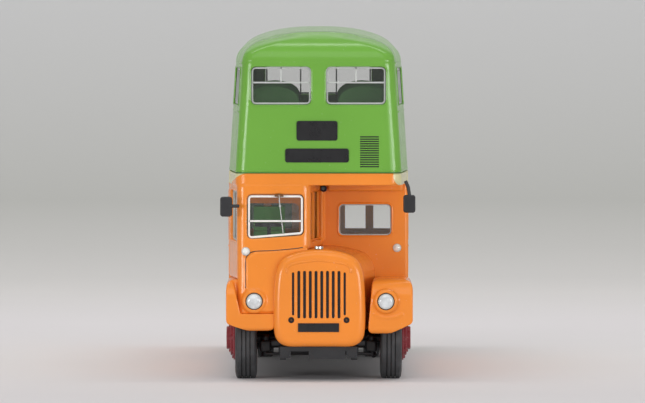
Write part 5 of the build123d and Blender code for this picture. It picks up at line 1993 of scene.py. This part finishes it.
@dataclass
class Wheels(SubAssembly):
    """Tyres with ribs and stepped hubs with their nuts."""

    outer_x: float = 13.8 * MM
    front_width: float = 3.6 * MM
    twin_width: float = 2.85 * MM
    twin_inner: float = 7.8 * MM
    bore: float = 4.66 * MM
    shoulder: float = 0.42 * MM
    side_drops: Path = ((0.0, 1.35), (0.1, 1.1), (0.02, 0.9), (0.1, 0.45), (0.22, 0.16))
    groove_count: int = 3
    groove_depth: float = 0.24 * MM
    groove_width: float = 0.2 * MM
    groove_foot_share: float = 0.6
    hub_inner_radius: float = 4.5 * MM
    hub_profile: Path = ((-0.55, 4.66), (-0.42, 4.6), (-0.42, 4.42), (-0.62, 4.25), (-0.62, 3.86),
                         (-0.5, 3.7), (0.2, 3.7), (0.3, 3.6), (0.3, 3.0), (0.34, 2.9), (0.7, 2.9),
                         (0.8, 2.8), (0.8, 2.0), (0.84, 1.9), (1.34, 1.9), (1.46, 1.8), (1.46, 1.1),
                         (1.36, 1.0), (1.36, 0.0))
    nut_rings: tuple[tuple[int, float, float], ...] = ((10, 3.3 * MM, 0.25 * MM), (6, 2.4 * MM, 0.75 * MM))
    nut_profile: Path = ((0, 0), (0, 0.24), (0.24, 0.24), (0.3, 0.168), (0.3, 0))

    def build(self) -> None:
        """Build the wheels of both axles."""
        for axle in Axle:
            self.tyres(axle)
            self.hubs(axle)

    def section(self, width: float) -> Outline:
        """Closed section of a tyre, from its outer face inwards, with its grooves.

        Args:
            width: Width of the tyre.

        Returns:
            The profile, for a bored turned form.
        """
        top = self.body.tyre_radius
        wall = [(0.0, self.bore)] + [(along, top - drop) for along, drop in millimetres(self.side_drops)]
        wall.append((self.shoulder, top))
        tread = width - self.shoulder * 2
        half, foot = self.groove_width / 2, top - self.groove_depth
        grooves = []
        for index in range(self.groove_count):
            middle = self.shoulder + tread * (index + 1) / (self.groove_count + 1)
            inner = half * self.groove_foot_share
            grooves += [(middle - half, top), (middle - inner, foot), (middle + inner, foot),
                        (middle + half, top)]
        return wall + grooves + [(width - along, radius) for along, radius in reversed(wall)]

    def tyres(self, axle: Axle) -> None:
        """Tyres of one axle.

        Args:
            axle: The axle.
        """
        mesh = bmesh.new()
        pairs = [(self.outer_x, self.front_width)]
        if axle is Axle.REAR:
            pairs = [(self.outer_x, self.twin_width), (self.twin_inner + self.twin_width, self.twin_width)]
        for side in Side:
            for outer, width in pairs:
                centre = (side.value * outer, self.body.axle_y(axle), self.body.tyre_radius)
                turned(mesh, centre, (-side.value, 0, 0), self.section(width), 96, bored=True)
        piece = to_piece(f"{axle.value}_tyres_tread", mesh, self.paint.rubber, axle.carrier, 35.0)
        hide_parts(f"{axle.value}_tyres")

    def hubs(self, axle: Axle) -> None:
        """Hubs of one axle, with rings of nuts.

        Args:
            axle: The axle.
        """
        mesh = bmesh.new()
        inner = self.front_width if axle is Axle.FRONT else self.outer_x - self.twin_inner
        profile = [(-inner, 0.0), (-inner, self.hub_inner_radius)] + millimetres(self.hub_profile)
        for side in Side:
            centre = Vector((side.value * self.outer_x, self.body.axle_y(axle), self.body.tyre_radius))
            turned(mesh, centre, (side.value, 0, 0), profile, 64)
            for count, radius, face in self.nut_rings:
                for index in range(count):
                    angle = math.tau * index / count
                    spot = Vector((side.value * face, radius * math.cos(angle), radius * math.sin(angle)))
                    turned(mesh, centre + spot, (side.value, 0, 0), millimetres(self.nut_profile), 6)
        piece = to_piece(f"{axle.value}_hubs_turned", mesh, self.paint.maroon, axle.carrier,
                         35.0)
        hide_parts(f"{axle.value}_hubs")


@dataclass
class Saloon(SubAssembly):
    """Seats of both decks with arched backs, and the framed partition at the rear."""

    aisle_half: float = 3.2 * MM
    upper_outer: float = 12.05 * MM
    lower_outer: float = 13.1 * MM
    upper_first: float = 9.5 * MM
    upper_pitch_share: float = 0.7
    upper_rows: int = 8
    upper_floor_z: float = 35.2 * MM
    upper_height: float = 11.0 * MM
    lower_first: float = 5.95 * MM
    lower_last: float = 14.4 * MM
    lower_rows: int = 5
    lower_floor_z: float = 9.0 * MM
    lower_height: float = 10.2 * MM
    plinth_inset: float = 0.8 * MM
    plinth_radius: float = 0.12 * MM
    seat_depth: float = 5.2 * MM
    cushion_share: float = 0.47
    cushion_depth: float = 1.7 * MM
    cushion_gap: float = 0.5 * MM
    cushion_radius: float = 0.4 * MM
    back_depth: float = 0.9 * MM
    back_share: float = 0.6
    back_lean: float = 0.08
    back_steps: int = 12
    arch: float = 1.5 * MM
    arch_power: float = 0.8
    partition_z: Pair = (22.0 * MM, 30.1 * MM)
    partition_radius: float = 0.12 * MM
    panel_inset: float = 0.06 * MM
    door_post: float = 1.5 * MM
    wall_post: float = 1.1 * MM
    mullion_x: Pair = (8.3 * MM, 9.7 * MM)
    mullion_lap: float = 0.2 * MM
    mullion_inset: float = 0.03 * MM

    def build(self) -> None:
        """Build the seats of both decks."""
        first = self.body.ahead(self.body.upper_front_reach) + self.upper_first
        pitch = self.body.bay_pitch * self.upper_pitch_share
        fronts = [first + pitch * row for row in range(self.upper_rows)]
        self.rows(Deck.UPPER, fronts, self.upper_floor_z, self.upper_height, self.upper_outer)
        start = self.body.bulkhead_y + self.lower_first
        end = self.body.rear_axle_y - self.lower_last
        fronts = [start + (end - start) * row / (self.lower_rows - 1) for row in range(self.lower_rows)]
        self.rows(Deck.LOWER, fronts, self.lower_floor_z, self.lower_height, self.lower_outer)
        self.partition()

    def partition(self) -> None:
        """Rear partition of the saloon: panels under glazed frames, beside the doorway."""
        mesh = bmesh.new()
        low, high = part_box("saloon_partition")
        sill, head = self.partition_z
        blocks = ((self.aisle_half, high[0], low[2], sill, self.panel_inset),
                  (self.aisle_half, high[0], head, high[2], self.panel_inset),
                  (self.aisle_half, self.aisle_half + self.door_post, low[2], high[2], 0.0),
                  (*self.mullion_x, sill - self.mullion_lap, head + self.mullion_lap, self.mullion_inset),
                  (high[0] - self.wall_post, high[0], low[2], high[2], 0.0))
        for side in Side:
            for start, end, bottom, top, inset in blocks:
                left, right = sorted((side.value * start, side.value * end))
                soft_box(mesh, (left, low[1] + inset, bottom), (right, high[1] - inset, top),
                         self.partition_radius, 2)
        piece = to_piece("saloon_partition_framed", mesh, self.paint.orange)
        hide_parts("saloon_partition")

    def rows(self, deck: Deck, fronts: Sequence[float], floor_z: float, height: float, outer: float) -> None:
        """Rows of seats that stand on one floor.

        Args:
            deck: The deck.
            fronts: Y of the front of each row.
            floor_z: Height of the floor.
            height: Height of a seat.
            outer: Outer end of a seat, from the middle of the bus.
        """
        mesh = bmesh.new()
        for index, front in enumerate(fronts):
            far = outer - self.body.front_taper if index == 0 and deck is Deck.UPPER else outer
            for side in Side:
                low, high = sorted((side.value * self.aisle_half, side.value * far))
                self.seat(mesh, (low, high), front, floor_z, height)
        node = f"{deck.value}_seats"
        piece = to_piece(f"{node}_shaped", mesh, self.paint.seats, BODY, 45.0)
        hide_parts(node)

    def seat(self, mesh: Mesh, span: Pair, front: float, floor_z: float, height: float) -> None:
        """Add one double seat: plinth, cushion and arched back.

        Args:
            mesh: The mesh to add to.
            span: X of its two ends.
            front: Y of its front.
            floor_z: Height of the floor.
            height: Height of the seat.
        """
        low, high = span
        cushion_z = floor_z + height * self.cushion_share
        under_z = cushion_z - self.cushion_depth
        inset = self.plinth_inset
        soft_box(mesh, (low + inset, front + inset, floor_z),
                 (high - inset, front + self.seat_depth - inset, under_z), self.plinth_radius, 2)
        soft_box(mesh, (low, front, under_z), (high, front + self.seat_depth - self.cushion_gap, cushion_z),
                 self.cushion_radius)
        half = (high - low) / 2
        outline = [(-half, 0.0), (half, 0.0)]
        for step in range(self.back_steps + 1):
            angle = math.pi * step / self.back_steps
            rise = self.arch * 2 * math.sin(angle) ** self.arch_power
            outline.append((half * math.cos(angle), height * self.back_share + rise))
        foot = Vector(((low + high) / 2, front + self.seat_depth - self.back_depth, under_z))
        wall = WallPlane(foot, Vector((1, 0, 0)), Vector((0, self.back_lean, 1)).normalized())
        prism(mesh, wall, outline, -self.back_depth, 0.0)


@dataclass
class Underside(SubAssembly):
    """Front axle beam, king pins and spring shackles seen behind the front wheels."""

    beam_ahead: float = 2.3 * MM
    beam_z: float = 5.9 * MM
    beam_low: Point = (-9.3 * MM, -0.55 * MM, -0.45 * MM)
    beam_high: Point = (9.3 * MM, 0.45 * MM, 0.5 * MM)
    beam_radius: float = 0.15 * MM
    pin_x: float = 8.75 * MM
    pin_z: float = 3.7 * MM
    pin_profile: Path = ((0, 0), (0, 0.5), (0.2, 0.72), (3.3, 0.72), (3.6, 0.45), (3.6, 0))
    shackle_low: Point = (-1.0 * MM, -0.9 * MM, 4.5 * MM)
    shackle_high: Point = (0.9 * MM, 0.6 * MM, 6.4 * MM)
    shackle_radius: float = 0.3 * MM
    rod_end: Point = (8.7 * MM, -0.9 * MM, 4.2 * MM)
    rod_radius: float = 0.25 * MM

    def build(self) -> None:
        """Build the running gear in black."""
        mesh = bmesh.new()
        y = self.body.ahead(self.beam_ahead)
        middle = Vector((0, y, self.beam_z))
        soft_box(mesh, middle + Vector(self.beam_low), middle + Vector(self.beam_high), self.beam_radius)
        for side in Side:
            foot = Vector((side.value * self.pin_x, y, 0))
            turned(mesh, foot + Vector((0, 0, self.pin_z)), (0, 0, 1), millimetres(self.pin_profile), 24)
            soft_box(mesh, foot + Vector(self.shackle_low), foot + Vector(self.shackle_high),
                     self.shackle_radius)
        x, ahead, z = self.rod_end
        tube(mesh, [(-x, y + ahead, z), (x, y + ahead, z)], self.rod_radius, 12)
        to_piece("front_axle_beam", mesh, self.paint.black)


@dataclass(frozen=True)
class SoftLamp:
    """One soft rectangular lamp, in metres and watts."""

    name: str
    place: Point
    size: Pair
    power: float
    aim: Point = (0.0, -0.03, 0.03)

    def build(self) -> None:
        """Hang the lamp and turn it to its aim."""
        data = bpy.data.lights.new(self.name, "AREA")
        data.shape = "RECTANGLE"
        data.size, data.size_y = self.size
        data.energy = self.power
        lamp = bpy.data.objects.new(self.name, data)
        lamp.location = self.place
        lamp.rotation_euler = (Vector(self.aim) - Vector(self.place)).to_track_quat("-Z", "Y").to_euler()
        bpy.context.scene.collection.objects.link(lamp)


@dataclass
class Studio:
    """Floor, backdrop, lights and camera."""

    body: BodySizes
    floor_half: float = 1.6
    wall_y: float = 0.62
    cove_radius: float = 0.35
    cove_steps: int = 16
    wall_height: float = 1.4
    near_y: float = -2.4
    camera_distance: float = 1.2
    camera_height: float = 68.8 * MM
    aim_x: float = 0.66 * MM
    aim_z: float = 29.3 * MM
    focal_mm: float = 403.9
    sensor_mm: float = 36.0
    world_strength: float = 0.42
    # Tones up the sheet: the floor's pale tone is its own, the darker ones part way up the wall are painted
    # shade.
    sheet_and_shade_places: tuple[float, ...] = (-0.09, 0.02, 0.1355, 0.27, 0.39, 0.53)
    sheet_and_shade_tones: tuple[tuple[int, int, int], ...] = ((220, 216, 217), (229, 226, 227), (229, 225, 226),
                                                    (222, 219, 217), (183, 183, 179), (196, 196, 196))
    lamps: tuple[SoftLamp, ...] = (
        SoftLamp("left_front", (-0.85, -0.95, 0.1), (0.5, 0.2), 3.9),
        SoftLamp("right_front", (0.85, -0.9, 0.1), (0.5, 0.2), 3.5),
        SoftLamp("low_front", (0.5, -1.0, 0.12), (0.3, 0.2), 0.7),
        SoftLamp("key", (-0.1, -0.85, 0.75), (0.9, 0.6), 2.2),
        SoftLamp("top", (0.0, 0.02, 0.85), (1.0, 0.14), 2.5, (0.0, 0.0, 0.0)),
        SoftLamp("back", (0.0, 0.4, 0.45), (0.7, 0.3), 0.3),
    )

    def build(self) -> None:
        """Build the stage, the lamps and the camera."""
        self.backdrop()
        for lamp in self.lamps:
            lamp.build()
        self.world()
        self.camera()

    def sheet_material(self) -> bpy.types.Material:
        """Pale sheet with a soft ramp of tones up it: the pale floor tone is its own, the darker tones up the
        wall are painted shade. Clear when it is seen from its back.

        Returns:
            The material.
        """
        shade = Shader("studio_sheet")
        # Painted shade: the colour darkens up the wall by place, along Y plus Z.
        along = shade.maths("ADD", shade.axis(1), shade.axis(2))
        tones = [linear(*tone) for tone in self.sheet_and_shade_tones]
        colour = shade.mix(shade.ranged(along, *self.sheet_and_shade_places[0:2]), tones[0], tones[1])
        for index in range(1, len(self.sheet_and_shade_places) - 1):
            share = shade.ranged(along, *self.sheet_and_shade_places[index:index + 2])
            colour = shade.mix(share, colour, tones[index + 1])
        grain = shade.ranged(shade.noise(30.0), 0.3, 0.7, 0.0, 0.03)
        shade.colour(shade.mix(grain, colour, (0.5, 0.5, 0.5)))
        shade.set(Roughness=0.9)
        geometry = shade.node("NewGeometry")
        shade.link(shade.maths("SUBTRACT", 1.0, geometry.outputs["Backfacing"]), shade.main.inputs["Alpha"])
        return shade.material

    def backdrop(self) -> None:
        """Curved sheet under and behind the model."""
        mesh = bmesh.new()
        foot_y = self.wall_y - self.cove_radius
        path = [(self.near_y, 0.0), (foot_y, 0.0)]
        for step in range(1, self.cove_steps + 1):
            angle = math.radians(90 * step / self.cove_steps)
            path.append((foot_y + self.cove_radius * math.sin(angle),
                         self.cove_radius * (1 - math.cos(angle))))
        path.append((self.wall_y, self.wall_height))
        rows = [[mesh.verts.new((x, y, z)) for x in (-self.floor_half, self.floor_half)] for y, z in path]
        for here, there in zip(rows, rows[1:]):
            mesh.faces.new((here[0], here[1], there[1], there[0]))
        data = bpy.data.meshes.new("backdrop")
        mesh.to_mesh(data)
        mesh.free()
        data.polygons.foreach_set("use_smooth", [True] * len(data.polygons))
        sheet = bpy.data.objects.new("backdrop", data)
        bpy.context.scene.collection.objects.link(sheet)
        data.materials.append(self.sheet_material())

    def world(self) -> None:
        """Even white light from all round, shown as it is."""
        world = bpy.data.worlds.new("studio")
        world.use_nodes = True
        background = world.node_tree.nodes["Background"]
        background.inputs["Color"].default_value = (1, 1, 1, 1)
        background.inputs["Strength"].default_value = self.world_strength
        bpy.context.scene.world = world
        bpy.context.scene.view_settings.view_transform = "Standard"

    def camera(self) -> None:
        """Camera in front of the bus, at the photograph's angle."""
        data = bpy.data.cameras.new("camera")
        data.sensor_width = self.sensor_mm
        data.lens = self.focal_mm
        data.clip_start = 0.01
        data.clip_end = 20.0
        camera = bpy.data.objects.new("camera", data)
        plane_y = self.body.front_axle_y
        camera.location = (0.0, plane_y - self.camera_distance, self.camera_height)
        aim = Vector((self.aim_x, plane_y, self.aim_z))
        camera.rotation_euler = (aim - camera.location).to_track_quat("-Z", "Y").to_euler()
        bpy.context.scene.collection.objects.link(camera)
        bpy.context.scene.camera = camera


def main() -> None:
    """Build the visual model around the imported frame."""
    logging.basicConfig(level=logging.INFO, format="%(message)s")
    paint = Paintwork()
    dress_frame(paint)
    body = BodySizes()
    casting = FrontCasting(body, paint)
    for part in (RoofSkin(body, paint), WindowSet(body, paint), Mouldings(body, paint), casting,
                 CabTrim(body, paint, casting), Lamps(body, paint), Mirrors(body, paint), Wheels(body, paint),
                 Saloon(body, paint), Underside(body, paint), Studio(body)):
        part.build()


if __name__ == "__main__":
    main()
